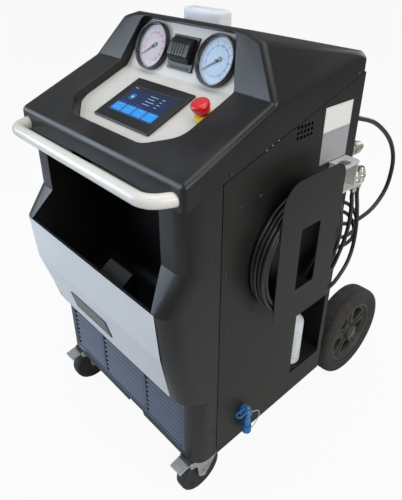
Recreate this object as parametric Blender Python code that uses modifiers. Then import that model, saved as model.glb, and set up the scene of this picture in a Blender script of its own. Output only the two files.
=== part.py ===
"""Mobile air-conditioning service station: a wheeled cabinet with a moulded hood,
a sunken control panel, a front bin, a hose hanger and a rear bottle platform.

Metres, +Z up. The station frame has x = 0 on the centre plane (+X is the machine's
right side), y = 0 on the cabinet's rear face (-Y is the front) and z = 0 on the floor.
The empty "station" carries that frame, and stands so that the world origin is the
bottom centre of the box round the rigid pieces.
"""

import math

import bmesh
import bpy
from mathutils import Matrix, Vector

# Overall form, as seen from the side
HALF_WIDTH = 0.300
BODY_DEPTH = 0.523
SKIRT_Z = 0.133
DESK_FRONT_Z = 0.913
DESK_DEPTH = 0.223
RISE_DEPTH = 0.046
SEAM_DEPTH = 0.093
KNEE_Y = DESK_DEPTH - BODY_DEPTH
KNEE_Z = 1.009
RIDGE_Y = KNEE_Y + RISE_DEPTH
RIDGE_Z = 1.118
RIDGE_HALF = 0.177
SHOULDER_HALF = 0.226
SHOULDER_Z = 1.104
DECK_REAR_Z = 1.062
LIP_FRONT = 0.053
LIP_REAR = 0.040
SEAM_Y = SEAM_DEPTH - BODY_DEPTH
GAP = 0.0003
SHEET = 0.0015
HOOD_WALL = 0.004
HOOD_ROUND = 0.011
SHELL_WALL = 0.0035

# Sunken control panel
RECESS = 0.021
FACE_THICK = 0.003
FACE_BEND = 0.012
LEDGE = 0.008
SCREEN_ALONG = 0.149
SCREEN_W = 0.196
SCREEN_H = 0.140
DISPLAY_W = 0.1545
DISPLAY_H = 0.0865
GAUGE_R = 0.055
GAUGE_X = 0.106
GAUGE_ALONG = 0.050
PRINTER_W = 0.082
PRINTER_H = 0.075
ESTOP_X = 0.164
ESTOP_ALONG = 0.028

# Outline of the sunken panel, measured square to its mean tilt
PANEL_TOP_RIM = 0.008
PANEL_FRONT_RIM = 0.041
PANEL_HALF_TOP = 0.150
PANEL_HALF_KNEE = 0.192
PANEL_HALF_FRONT = 0.125
PANEL_CORNER_RISE = 0.048

# Instruments on the panel
GAUGE_CUP_R = 0.0495
GAUGE_RIM = 0.014
GAUGE_DIAL_R = 0.0470
DIAL_Z = 0.0020
DIAL_T = 0.0010
GLASS_T = 0.0015
POINTER_REST = 125.0
PRINTER_FLANGE = 0.005
PRINTER_FACE = 0.005
PAPER_W = 0.057
PAPER_R = 0.0165
SCREEN_FLANGE = 0.008
STOP_R = 0.0200
STOP_BARREL_R = 0.0110
STOP_BORE_R = 0.0088

# Openings and ports of the cabinet
VENT_PITCH = 0.0112
VENT_HOLE = 0.0072
VENT_COLS = 5
VENT_ROWS = 3
VENT_Y = -0.2025
VENT_Z = 0.935
FLANGE = 0.015
BOTTLE_SLOT_Y = (-0.148, -0.018)
BOTTLE_SLOT_Z = (0.211, 0.420)
DRAIN_Y = 0.183 - BODY_DEPTH
DRAIN_Z = 0.228
VALVE_STEM_R = 0.0085
PORT_REACH = 0.020
LOUVRES = 6
LOUVRE_LOW_Z = 0.760
LOUVRE_PITCH = 0.020
INLET_X = (0.065 - HALF_WIDTH, 0.135 - HALF_WIDTH)
INLET_Z = (0.190, 0.250)

# Front: belly, bin, plate and grille
FRONT_STEP = 0.008
BELLY_REACH = 0.046
BELLY_TOP_Z = 0.640
WING_TOP_Z = BELLY_TOP_Z + 0.076
BELLY_BEND_Z = BELLY_TOP_Z - 0.119
BELLY_LOW_Z = BELLY_TOP_Z - 0.277
BIN_HALF = HALF_WIDTH - 0.083
BIN_FLARE = 0.030
BIN_DEPTH = 0.175
BIN_FLOOR_Z = BELLY_TOP_Z - 0.190
BIN_WALL = 0.003
GRILLE_HALF = HALF_WIDTH - 0.047
GRILLE_LOW_Z = 0.156
GRILLE_TOP_Z = BELLY_LOW_Z - 0.025
GRILLE_THICK = 0.012
SLATS = 10

# Handle
HANDLE_R = 0.014
HANDLE_Z = 0.881
HANDLE_REACH = 0.057

# Running gear
TRAY_Z = 0.150
TRAY_SKIRT = 0.014
WHEEL_R = 0.150
WHEEL_W = 0.075
WHEEL_SETBACK = WHEEL_R + 0.038
WHEEL_OUT = 0.002
RIM_R = WHEEL_R - 0.044
WHEEL_WINDOWS = 5
WHEEL_SIDES = 30
AXLE_R = 0.010
CASTER_R = 0.0625
CASTER_W = 0.032
CASTER_X = HALF_WIDTH - 0.042
CASTER_Y = 0.105 - BODY_DEPTH
CASTER_TRAIL = 0.038
BRAKE_Y = -0.074
BRAKE_Z = 0.1235
PLATFORM_Z = WHEEL_R + 0.022
PLATFORM_FALL = 0.042
PLATFORM_HALF = HALF_WIDTH - 0.100
PLATFORM_REACH = WHEEL_SETBACK + 0.027

# Hose side
STANDOFF = 0.045
HANGER_SHEET = 0.002
HANGER_HALF = 0.105
HANGER_Y = -0.206
HANGER_LOW_Z = 0.508
HANGER_TOP_Z = 0.860
COIL_R = 0.152
COIL_BORE = 0.118
COIL_Z = 0.662
HOSE_R = 0.005
REAR_HOSE_R = 0.006
COUPLER_R = 0.0115
COUPLER_HIGH = (HALF_WIDTH + 0.030, -0.026)
COUPLER_LOW = (HALF_WIDTH + 0.024, 0.006)
COUPLER_Z = 0.752
HOLDER_LIFT = 0.027
HOLDER_H = 0.063
HOLDER_FRONT_Y = -0.100
COIL_LOW_FOOT = -0.104
SADDLE_SLACK = 0.0009
HANGER_WINDOW = (-0.035, 0.032, -0.082, 0.077)

# Bottle, drain valve and top module
BOTTLE_R = 0.036
BOTTLE_AT = (HALF_WIDTH - 0.045, -0.105)
BOTTLE_H = 0.185
VALVE_X = HALF_WIDTH + 0.018
VALVE_R = 0.011
LEVER_LIFT = 0.0135
FITTING_X = HALF_WIDTH - 0.030
FITTING_Z = 0.822
COMPRESSOR_AT = (-0.140, -0.220)
PUMP_AT = (0.070, -0.190)
MODULE_X = (0.060 - HALF_WIDTH, 0.205 - HALF_WIDTH)
MODULE_Y = (-0.058, -0.012)
MODULE_TOP_Z = 1.108

# Placing worked out from the sizes above
FRONT_Y = -BODY_DEPTH
SHELL_Y = FRONT_Y + FRONT_STEP
DESK_TILT = math.atan2(KNEE_Z - DESK_FRONT_Z, KNEE_Y - FRONT_Y)
RISE_TILT = math.atan2(RIDGE_Z - KNEE_Z, RIDGE_Y - KNEE_Y)
HOOD_FRONT_LOW = DESK_FRONT_Z - LIP_FRONT
HOOD_REAR_LOW = DECK_REAR_Z - LIP_REAR
SEAM_RISE = (HOOD_REAR_LOW - HOOD_FRONT_LOW) / BODY_DEPTH
GRILLE_Y = SHELL_Y + 0.020
BELLY_Y = FRONT_Y - BELLY_REACH
HANGER_X = HALF_WIDTH + GAP + STANDOFF
RIGHT_EDGE = HANGER_X + HANGER_SHEET
LEFT_EDGE = HALF_WIDTH + WHEEL_OUT
FRONT_EDGE = BODY_DEPTH + HANDLE_REACH
REAR_EDGE = WHEEL_SETBACK + WHEEL_R
PANEL_BACK_Y = -SHEET - GAP


def collection(name):
    made = bpy.data.collections.new(name)
    bpy.context.scene.collection.children.link(made)
    return made


for old in list(bpy.data.objects):
    bpy.data.objects.remove(old)

PARTS = collection("ac_service_station")
GUIDES = collection("cutters")


def empty(name, parent=None, location=(0, 0, 0), rotation=(0, 0, 0)):
    made = bpy.data.objects.new(name, None)
    PARTS.objects.link(made)
    made.parent = parent
    made.location = location
    made.rotation_euler = rotation
    return made


STATION = empty("station", location=((LEFT_EDGE - RIGHT_EDGE) / 2, (FRONT_EDGE - REAR_EDGE) / 2, 0))


def finish(name, colour, roughness, metallic=0.0):
    made = bpy.data.materials.new(name)
    made.use_nodes = True
    shader = made.node_tree.nodes["Principled BSDF"]
    shader.inputs["Base Color"].default_value = (*colour, 1.0)
    shader.inputs["Roughness"].default_value = roughness
    shader.inputs["Metallic"].default_value = metallic
    return made


FINISHES = {
    "black_abs": ((0.010, 0.010, 0.011), 0.38, 0.0),
    "black_paint": ((0.014, 0.013, 0.012), 0.50, 0.0),
    "fascia_grey": ((0.62, 0.62, 0.60), 0.45, 0.0),
    "silver_plate": ((0.60, 0.61, 0.63), 0.40, 0.6),
    "grille_black": ((0.020, 0.021, 0.026), 0.42, 0.0),
    "handle_paint": ((0.62, 0.60, 0.56), 0.35, 0.0),
    "gauge_black": ((0.006, 0.006, 0.006), 0.25, 0.0),
    "dial_red": ((0.78, 0.62, 0.62), 0.55, 0.0),
    "dial_blue": ((0.62, 0.72, 0.85), 0.55, 0.0),
    "clear_glass": ((0.90, 0.92, 0.93), 0.05, 0.0),
    "screen_face": ((0.02, 0.08, 0.30), 0.15, 0.0),
    "stop_red": ((0.60, 0.010, 0.015), 0.35, 0.0),
    "stop_yellow": ((0.80, 0.60, 0.02), 0.45, 0.0),
    "paper": ((0.85, 0.84, 0.80), 0.80, 0.0),
    "zinc": ((0.60, 0.61, 0.60), 0.32, 0.9),
    "tyre_rubber": ((0.030, 0.029, 0.028), 0.75, 0.0),
    "hub_grey": ((0.060, 0.058, 0.055), 0.60, 0.0),
    "nickel": ((0.62, 0.58, 0.52), 0.30, 0.9),
    "bracket_grey": ((0.45, 0.45, 0.43), 0.40, 0.7),
    "hose_black": ((0.012, 0.012, 0.012), 0.45, 0.0),
    "milky_plastic": ((0.80, 0.82, 0.84), 0.35, 0.0),
    "white_plastic": ((0.80, 0.80, 0.80), 0.40, 0.0),
    "valve_blue": ((0.02, 0.14, 0.42), 0.40, 0.0),
    "brass": ((0.60, 0.42, 0.16), 0.30, 0.9),
    "steel_sheet": ((0.30, 0.30, 0.30), 0.45, 0.7),
    "motor_paint": ((0.10, 0.12, 0.16), 0.45, 0.2),
}


def adopt(obj, finish_name=None, parent=STATION, location=(0, 0, 0), rotation=(0, 0, 0)):
    """Hang an object in the assembly, or among the cutters when it has no finish."""
    home = PARTS if finish_name else GUIDES
    home.objects.link(obj)
    obj.parent = parent
    obj.location = location
    obj.rotation_euler = rotation
    if finish_name:
        obj.data.materials.append(finish(obj.name + "_" + finish_name, *FINISHES[finish_name]))
    else:
        obj.hide_render = True
        obj.display_type = "WIRE"
    return obj


def mesh_object(name, bm, finish_name=None, smooth=None, **place):
    mesh = bpy.data.meshes.new(name)
    bmesh.ops.recalc_face_normals(bm, faces=bm.faces)
    bm.to_mesh(mesh)
    bm.free()
    if smooth:
        mesh.shade_smooth()
        mesh.set_sharp_from_angle(angle=math.radians(smooth))
    return adopt(bpy.data.objects.new(name, mesh), finish_name, **place)


def block_mesh(low, high, rounding=0.0, steps=2):
    bm = bmesh.new()
    size = [b - a for a, b in zip(low, high)]
    middle = Vector([(a + b) / 2 for a, b in zip(low, high)])
    bmesh.ops.create_cube(bm, size=1.0)
    bmesh.ops.scale(bm, vec=size, verts=bm.verts)
    bmesh.ops.translate(bm, vec=middle, verts=bm.verts)
    if rounding:
        bmesh.ops.bevel(bm, geom=bm.edges[:], offset=rounding, segments=steps, profile=0.5, affect="EDGES")
    return bm


def block(name, low, high, finish_name=None, rounding=0.0, **place):
    return mesh_object(name, block_mesh(low, high, rounding), finish_name, **place)


def rod_mesh(radius, start, end, sides=24):
    """A straight round bar between two points."""
    bm = bmesh.new()
    start, end = Vector(start), Vector(end)
    along = end - start
    turn = along.to_track_quat("Z", "Y").to_matrix().to_4x4()
    seat = Matrix.Translation((start + end) / 2) @ turn
    bmesh.ops.create_cone(bm, cap_ends=True, segments=sides, radius1=radius, radius2=radius,
                          depth=along.length, matrix=seat)
    return bm


def rod(name, radius, start, end, finish_name=None, sides=24, **place):
    return mesh_object(name, rod_mesh(radius, start, end, sides), finish_name, smooth=30, **place)


def merged(*meshes):
    """Several loose solids as one mesh, for a cutter or for a union."""
    bm = bmesh.new()
    for other in meshes:
        carrier = bpy.data.meshes.new("carrier")
        other.to_mesh(carrier)
        other.free()
        bm.from_mesh(carrier)
        bpy.data.meshes.remove(carrier)
    return bm


def turned(name, profile, finish_name=None, closed=False, steps=32, **place):
    """A profile of (radius, height) points, outer side first from the top down, spun about Z."""
    mesh = bpy.data.meshes.new(name)
    points = [(radius, 0.0, height) for radius, height in profile]
    edges = [(i, i + 1) for i in range(len(points) - 1)]
    if closed:
        edges.append((len(points) - 1, 0))
    mesh.from_pydata(points, edges, [])
    obj = adopt(bpy.data.objects.new(name, mesh), finish_name, **place)
    screw = obj.modifiers.new("turn", "SCREW")
    screw.axis = "Z"
    screw.steps = steps
    screw.render_steps = steps
    screw.use_merge_vertices = True
    screw.merge_threshold = 0.00001
    screw.use_smooth_shade = True
    return obj


def fillet(points, radius, steps=4):
    """A closed outline with every corner rounded; radius is one value or one per corner."""
    count = len(points)
    radii = radius if isinstance(radius, (list, tuple)) else [radius] * count
    outline = []
    for i, corner in enumerate(points):
        here = Vector(corner)
        before = Vector(points[i - 1]) - here
        after = Vector(points[(i + 1) % count]) - here
        half = before.angle(after) / 2
        if radii[i] <= 0:
            outline.append(tuple(here))
            continue
        reach = min(radii[i] / math.tan(half), before.length * 0.49, after.length * 0.49)
        arc = reach * math.tan(half)
        centre = here + (before.normalized() + after.normalized()).normalized() * (arc / math.sin(half))
        first = here + before.normalized() * reach - centre
        last = here + after.normalized() * reach - centre
        sweep = first.angle_signed(last)
        for k in range(steps + 1):
            turn = Matrix.Rotation(-sweep * k / steps, 2)
            outline.append(tuple(centre + turn @ first))
    return outline


def sheet_curve(name, outline, thickness, holes=()):
    """A flat outline in its own XY plane, filled and extruded to a plate."""
    data = bpy.data.curves.new(name, "CURVE")
    data.dimensions = "2D"
    data.fill_mode = "BOTH"
    data.extrude = thickness / 2
    for loop in (outline, *holes):
        spline = data.splines.new("POLY")
        spline.points.add(len(loop) - 1)
        for point, (x, y) in zip(spline.points, loop):
            point.co = (x, y, 0, 1)
        spline.use_cyclic_u = True
    return bpy.data.objects.new(name, data)


def as_mesh(obj):
    """The evaluated form of a curve object as a welded mesh, in the object's own frame."""
    bpy.context.scene.collection.objects.link(obj)
    graph = bpy.context.evaluated_depsgraph_get()
    graph.update()
    mesh = bpy.data.meshes.new_from_object(obj.evaluated_get(graph))
    bm = bmesh.new()
    bm.from_mesh(mesh)
    bmesh.ops.remove_doubles(bm, verts=bm.verts, dist=0.00001)
    bpy.data.meshes.remove(mesh)
    bpy.data.objects.remove(obj)
    return bm


SIDE_ON = (math.radians(90), 0, math.radians(90))
FACE_ON = (math.radians(90), 0, 0)


def plate(name, outline, thickness, finish_name=None, holes=(), **place):
    bm = as_mesh(sheet_curve(name, outline, thickness, holes))
    return mesh_object(name, bm, finish_name, **place)


def prism_x(outline, half, offset=0.0):
    """A (y, z) outline extruded along X from -half to +half about offset."""
    bm = as_mesh(sheet_curve("prism", outline, 2 * half))
    turn = Matrix.Rotation(math.radians(90), 4, "Z") @ Matrix.Rotation(math.radians(90), 4, "X")
    bmesh.ops.transform(bm, matrix=Matrix.Translation((offset, 0, 0)) @ turn, verts=bm.verts)
    return bm


def prism_y(outline, y_low, y_high):
    """An (x, z) outline extruded along Y."""
    bm = as_mesh(sheet_curve("prism", outline, y_high - y_low))
    turn = Matrix.Rotation(math.radians(90), 4, "X")
    bmesh.ops.transform(bm, matrix=Matrix.Translation((0, (y_low + y_high) / 2, 0)) @ turn, verts=bm.verts)
    return bm


def slice_off(bm, point, normal, fill=True):
    """Remove everything on the side of a plane that its normal points to."""
    geometry = bm.verts[:] + bm.edges[:] + bm.faces[:]
    cut = bmesh.ops.bisect_plane(bm, geom=geometry, plane_co=point, plane_no=normal, clear_outer=True)
    if fill:
        rim = [item for item in cut["geom_cut"] if isinstance(item, bmesh.types.BMEdge)]
        bmesh.ops.contextual_create(bm, geom=rim)


def boolean(obj, guide, operation="DIFFERENCE"):
    step = obj.modifiers.new(guide.name, "BOOLEAN")
    step.operation = operation
    step.solver = "EXACT"
    step.object = guide
    return obj


def solidify(obj, thickness):
    step = obj.modifiers.new("wall", "SOLIDIFY")
    step.thickness = thickness
    step.offset = -1.0
    step.use_even_offset = True
    return step


def smooth_route(points, spacing):
    """Evenly spaced points on a smooth curve through hand-placed ones."""
    knots = [Vector(p) for p in points]
    knots = [2 * knots[0] - knots[1], *knots, 2 * knots[-1] - knots[-2]]
    fine = []
    for a, b, c, d in zip(knots, knots[1:], knots[2:], knots[3:]):
        for k in range(16):
            t = k / 16
            fine.append(0.5 * (2 * b + (c - a) * t + (2 * a - 5 * b + 4 * c - d) * t * t
                               + (3 * b - a - 3 * c + d) * t ** 3))
    fine.append(knots[-2])
    length = sum((q - p).length for p, q in zip(fine, fine[1:]))
    count = max(3, round(length / spacing))
    route, walked, target = [fine[0]], 0.0, length / count
    for p, q in zip(fine, fine[1:]):
        step = (q - p).length
        while walked + step >= target - 1e-9 and len(route) < count:
            route.append(p.lerp(q, (target - walked) / step))
            target += length / count
        walked += step
    route.append(fine[-1])
    return route


def tube(name, route, radius, finish_name=None, fineness=2, **place):
    data = bpy.data.curves.new(name, "CURVE")
    data.dimensions = "3D"
    data.bevel_depth = radius
    data.bevel_resolution = fineness
    data.use_fill_caps = True
    spline = data.splines.new("POLY")
    spline.points.add(len(route) - 1)
    for point, place_at in zip(spline.points, route):
        point.co = (*place_at, 1)
    return adopt(bpy.data.objects.new(name, data), finish_name, **place)


def seam_z(y):
    """Height of the joint between the hood and the cabinet at a depth y."""
    return HOOD_FRONT_LOW + SEAM_RISE * (y - FRONT_Y)


SEAM_POINT = Vector((0, FRONT_Y, HOOD_FRONT_LOW - GAP))
SEAM_NORMAL = Vector((0, -SEAM_RISE, 1)).normalized()
def slope(tilt):
    """Unit vectors up a slope and out of it, in the (y, z) plane."""
    return Vector((math.cos(tilt), math.sin(tilt))), Vector((-math.sin(tilt), math.cos(tilt)))


DESK_UP, DESK_OUT = slope(DESK_TILT)
RISE_UP, RISE_OUT = slope(RISE_TILT)
PANEL_TILT = (DESK_TILT + RISE_TILT) / 2
PANEL_UP, PANEL_OUT = slope(PANEL_TILT)
DESK_EDGE = Vector((FRONT_Y, DESK_FRONT_Z))
KNEE = Vector((KNEE_Y, KNEE_Z))
RIDGE = Vector((RIDGE_Y, RIDGE_Z))
DECK_REAR = Vector((0.0, DECK_REAR_Z))


def knee_at(depth):
    """The knee of the surface that lies at a depth under the desk and the rise."""
    return KNEE - (DESK_OUT + RISE_OUT) * depth / (1 + math.cos(RISE_TILT - DESK_TILT))


def frame_on(name, corner, up, out, tilt, along):
    """An empty on the sunken face, with Y up the slope and Z out of it."""
    spot = corner + up * along - out * RECESS
    return empty(name, STATION, (0, spot.x, spot.y), (tilt, 0, 0))


DESK = frame_on("desk_face", DESK_EDGE, DESK_UP, DESK_OUT, DESK_TILT, SCREEN_ALONG)
RISE = frame_on("rise_face", KNEE, RISE_UP, RISE_OUT, RISE_TILT, GAUGE_ALONG)


def panel_outline(inset):
    top = (RIDGE - KNEE).dot(PANEL_UP) - PANEL_TOP_RIM - inset
    low = (DESK_EDGE - KNEE).dot(PANEL_UP) + PANEL_FRONT_RIM + inset
    corner = low + PANEL_CORNER_RISE
    half = [PANEL_HALF_TOP - inset, PANEL_HALF_KNEE - inset, PANEL_HALF_FRONT - inset]
    points = [(half[0], top), (half[1], 0.0), (half[1], corner), (half[2], low)]
    points += [(-x, s) for x, s in reversed(points)]
    return fillet(points, [0.018, 0.060, 0.045, 0.050, 0.050, 0.045, 0.060, 0.018], 5)


def rise_outline(inset):
    """The outline's upper part, measured on the rise, so that the top wall is square to it."""
    top = (RIDGE - KNEE).length - PANEL_TOP_RIM - inset
    half_top, half_low = PANEL_HALF_TOP - inset, PANEL_HALF_KNEE - inset
    points = [(half_top, top), (half_low - 0.006, 0.012), (half_low - 0.022, -0.020)]
    points += [(-x, a) for x, a in reversed(points)]
    return fillet(points, [0.018, 0.030, 0, 0, 0.030, 0.018], 5)


def panel_prism(name, inset, reach):
    """The panel's outline extruded both ways from the knee, square to its mean tilt and to the rise."""
    place = (0, KNEE_Y, KNEE_Z)
    guide = plate(name, panel_outline(inset), 2 * reach, location=place, rotation=(PANEL_TILT, 0, 0))
    upper = plate(name + "_upper", rise_outline(inset), 2 * reach, location=place, rotation=(RISE_TILT, 0, 0))
    return boolean(guide, upper, "UNION")


def sunken_profile(top_depth, low_depth):
    """A band that follows the desk and the rise between two depths, in (y, z)."""
    desk_reach, rise_reach = 0.300, 0.180
    upper, lower = knee_at(top_depth), knee_at(low_depth)
    points = [upper - DESK_UP * desk_reach, lower - DESK_UP * desk_reach, lower,
              lower + RISE_UP * rise_reach, upper + RISE_UP * rise_reach, upper]
    bend = FACE_BEND - RECESS
    return fillet(points, [0, 0, bend + low_depth, 0, 0, bend + top_depth], 6)


def shoulder_planes(inward=0.0):
    """The two facets that close the hood's right shoulder, as (point, normal) pairs."""
    knee = Vector((HALF_WIDTH, KNEE_Y, KNEE_Z))
    rear = Vector((HALF_WIDTH, 0, DECK_REAR_Z))
    rise_share = (SHOULDER_Z - KNEE_Z) / (RIDGE_Z - KNEE_Z)
    shoulder = Vector((SHOULDER_HALF, KNEE_Y + rise_share * (RIDGE_Y - KNEE_Y), SHOULDER_Z))
    crown = Vector((RIDGE_HALF, RIDGE_Y, RIDGE_Z))
    planes = []
    for a, b, c in ((knee, rear, shoulder), (shoulder, rear, crown)):
        normal = (b - a).cross(c - a).normalized()
        planes.append((a - normal * inward, normal))
    return planes


def slice_shoulders(bm, inward=0.0):
    for point, normal in shoulder_planes(inward):
        slice_off(bm, point, normal)
        slice_off(bm, Vector((-point.x, point.y, point.z)), Vector((-normal.x, normal.y, normal.z)))
    bmesh.ops.remove_doubles(bm, verts=bm.verts, dist=0.0002)
    bmesh.ops.dissolve_degenerate(bm, dist=0.0001, edges=bm.edges)
    bmesh.ops.recalc_face_normals(bm, faces=bm.faces)


def handle_route(extra=0.0):
    leg_x, bend_x = HALF_WIDTH - 0.019, HALF_WIDTH - 0.050
    run_y, end_y = HANDLE_R - FRONT_EDGE, FRONT_Y + 0.023
    slant = Vector((leg_x - bend_x, end_y - run_y)).normalized() * extra
    plan = [(-leg_x - slant.x, end_y + slant.y), (-bend_x, run_y), (bend_x, run_y),
            (leg_x + slant.x, end_y + slant.y)]
    return [(x, y, HANDLE_Z) for x, y in fillet(plan, [0, 0.045, 0.045, 0], 6)]


def curve_guide(name, route, radius):
    """A tube's envelope as a closed mesh, for a cut."""
    data = bpy.data.curves.new(name, "CURVE")
    data.dimensions = "3D"
    data.bevel_depth = radius
    data.bevel_resolution = 4
    data.use_fill_caps = True
    spline = data.splines.new("POLY")
    spline.points.add(len(route) - 1)
    for point, place_at in zip(spline.points, route):
        point.co = (*place_at, 1)
    return mesh_object(name, as_mesh(bpy.data.objects.new(name + "_curve", data)))


def hood_form():
    """The hood as a closed solid with sharp edges."""
    side = [(FRONT_Y, HOOD_FRONT_LOW), tuple(DESK_EDGE), tuple(KNEE), tuple(RIDGE), tuple(DECK_REAR),
            (0.0, HOOD_REAR_LOW)]
    bm = prism_x(side, HALF_WIDTH)
    slice_shoulders(bm)
    return bm


def build_hood():
    bm = hood_form()
    bmesh.ops.dissolve_limit(bm, angle_limit=0.01, verts=bm.verts, edges=bm.edges)
    sharp = []
    for edge in bm.edges:
        on_rim = all(vert.co.z < seam_z(vert.co.y) + 0.001 for vert in edge.verts)
        if not on_rim and edge.calc_face_angle_signed(0.0) > math.radians(30):
            sharp.append(edge)
    bmesh.ops.bevel(bm, geom=sharp, offset=HOOD_ROUND, segments=3, profile=0.5, affect="EDGES")
    hood = mesh_object("hood", bm, "black_abs", smooth=35)

    floor = RECESS + FACE_THICK + GAP
    slab = floor + 0.006
    above = mesh_object("recess_depth", prism_x(sunken_profile(-0.080, floor), HALF_WIDTH))
    recess = boolean(panel_prism("recess_mouth", 0.0, 0.150), above, "INTERSECT")
    boolean(hood, recess)
    below = mesh_object("recess_through", prism_x(sunken_profile(0.0, slab + 0.020), HALF_WIDTH))
    boolean(hood, boolean(panel_prism("ledge_mouth", LEDGE, 0.150), below, "INTERSECT"))

    front, back = FRONT_Y + HOOD_WALL, -HOOD_WALL
    desk_line = DESK_EDGE - DESK_OUT * slab
    front_top = desk_line.y + (front - desk_line.x) * math.tan(DESK_TILT)
    crown = RIDGE - RISE_UP * slab - RISE_OUT * slab
    inside = [(front, HOOD_FRONT_LOW - 0.05), (front, front_top), tuple(knee_at(slab)), tuple(crown),
              (back, DECK_REAR_Z - 3 * HOOD_WALL), (back, HOOD_FRONT_LOW - 0.05)]
    bm = prism_x(inside, HALF_WIDTH - HOOD_WALL)
    slice_shoulders(bm, HOOD_WALL)
    boolean(hood, mesh_object("hood_hollow", bm))
    boolean(hood, curve_guide("handle_passage", handle_route(0.012), HANDLE_R + GAP))
    return hood


def build_faceplate():
    clearance = 0.0006
    face = mesh_object("faceplate", prism_x(sunken_profile(RECESS, RECESS + FACE_THICK), HALF_WIDTH * 0.9),
                       "fascia_grey")
    boolean(face, panel_prism("face_outline", clearance, 0.150), "INTERSECT")
    for sign in (-1, 1):
        hole = rod("gauge_hole_%d" % sign, GAUGE_CUP_R + 3 * GAP, (0, 0, -0.02), (0, 0, 0.02), sides=32,
                   parent=RISE, location=(sign * GAUGE_X, 0, 0))
        boolean(face, hole)
    half_w, half_h = PRINTER_W / 2 - PRINTER_FLANGE + GAP, PRINTER_H / 2 - PRINTER_FLANGE + GAP
    boolean(face, block("printer_hole", (-half_w, -half_h, -0.02), (half_w, half_h, 0.02), parent=RISE))
    half_w, half_h = SCREEN_W / 2 - SCREEN_FLANGE + GAP, SCREEN_H / 2 - SCREEN_FLANGE + GAP
    boolean(face, block("screen_hole", (-half_w, -half_h, -0.02), (half_w, half_h, 0.02), parent=DESK))
    boolean(face, rod("stop_hole", STOP_BARREL_R + GAP, (0, 0, -0.02), (0, 0, 0.02), parent=DESK,
                      location=(ESTOP_X, ESTOP_ALONG, 0)))
    return face


def build_gauge(side, sign, dial_finish):
    place = dict(parent=RISE, location=(sign * GAUGE_X, 0, 0))
    inner = GAUGE_DIAL_R + GAP
    floor = DIAL_Z - GAP
    profile = [(0.0, floor), (inner, floor), (inner, GAUGE_RIM - 0.0015), (inner + 0.0015, GAUGE_RIM),
               (GAUGE_R - 0.002, GAUGE_RIM - 0.001), (GAUGE_R, GAUGE_RIM - 0.004), (GAUGE_R, GAP),
               (GAUGE_CUP_R, GAP), (GAUGE_CUP_R, -0.026), (GAUGE_CUP_R - 0.003, -0.029), (0.0, -0.029)]
    turned("gauge_case_" + side, profile, "gauge_black", steps=28, **place)
    dial = [(0.0, DIAL_Z + DIAL_T), (GAUGE_DIAL_R, DIAL_Z + DIAL_T), (GAUGE_DIAL_R, DIAL_Z), (0.0, DIAL_Z)]
    turned("gauge_dial_" + side, dial, dial_finish, steps=28, **place)
    glass_z = GAUGE_RIM - 0.003 - GLASS_T
    glass = [(0.0, glass_z + GLASS_T), (GAUGE_DIAL_R, glass_z + GLASS_T), (GAUGE_DIAL_R, glass_z),
             (0.0, glass_z)]
    turned("gauge_glass_" + side, glass, "clear_glass", steps=28, **place)
    low = DIAL_Z + DIAL_T + GAP
    needle = fillet([(0.0030, 0.006), (0.0007, 0.038), (-0.0007, 0.038), (-0.0030, 0.006),
                     (-0.0035, -0.014), (0.0035, -0.014)], [0.0005, 0.0005, 0.0005, 0.0005, 0.003, 0.003], 2)
    pointer = plate("gauge_pointer_" + side, needle, 0.0012, "gauge_black", **place)
    pointer.location.z = 0
    pointer.data.transform(Matrix.Translation((0, 0, low + 0.0022)))
    pointer.rotation_euler = (0, 0, math.radians(POINTER_REST))
    hub = rod("pointer_hub_" + side, 0.0055, (0, 0, low), (0, 0, low + 0.0042), parent=RISE,
              location=(sign * GAUGE_X, 0, 0), sides=20)
    boolean(pointer, hub, "UNION")


def build_printer():
    place = dict(parent=RISE, location=(0, 0, 0))
    half_w, half_h = PRINTER_W / 2, PRINTER_H / 2
    face = PRINTER_FACE
    body = block("printer_body", (-half_w, -half_h, GAP), (half_w, half_h, face), "black_abs", 0.001, **place)
    inner_w, inner_h = half_w - PRINTER_FLANGE, half_h - PRINTER_FLANGE
    boolean(body, block("printer_well", (-inner_w, -inner_h, -0.034), (inner_w, inner_h, 0.002), **place), "UNION")
    roll_w = PAPER_W / 2 + 0.001
    boolean(body, block("paper_bay", (-roll_w, -0.022, -0.031), (roll_w, half_h - 0.003, 0.03), **place))
    roll = [(0.0, PAPER_W / 2), (PAPER_R, PAPER_W / 2), (PAPER_R, -PAPER_W / 2), (0.0, -PAPER_W / 2)]
    turned("paper_roll", roll, "paper", steps=28, parent=RISE, location=(0, 0.006, -0.031 + PAPER_R + GAP),
           rotation=(0, math.radians(90), 0))
    hinge_y, hinge_z = half_h - 0.006, face + 0.0035
    low_y = -0.0215
    arch = fillet([(hinge_y + 0.001, face + GAP), (low_y, face + GAP), (low_y, face + 0.006),
                   (low_y + 0.012, face + 0.017), (hinge_y - 0.012, face + 0.015), (hinge_y + 0.001, face + 0.005)],
                  [0.0005, 0.0005, 0.002, 0.010, 0.014, 0.003], 4)
    bm = prism_x(arch, PAPER_W / 2 + 0.004)
    bmesh.ops.translate(bm, vec=(0, -hinge_y, -hinge_z), verts=bm.verts)
    door = mesh_object("printer_door", bm, "black_abs", smooth=30, parent=RISE, location=(0, hinge_y, hinge_z))
    grooves = [block_mesh((x - 0.0008, low_y - hinge_y - 0.01, 0.0085), (x + 0.0008, -0.010, 0.03))
               for x in [i * 0.009 for i in range(-2, 3)]]
    boolean(door, mesh_object("door_grooves", merged(*grooves), parent=RISE, location=(0, hinge_y, hinge_z)))


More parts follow.
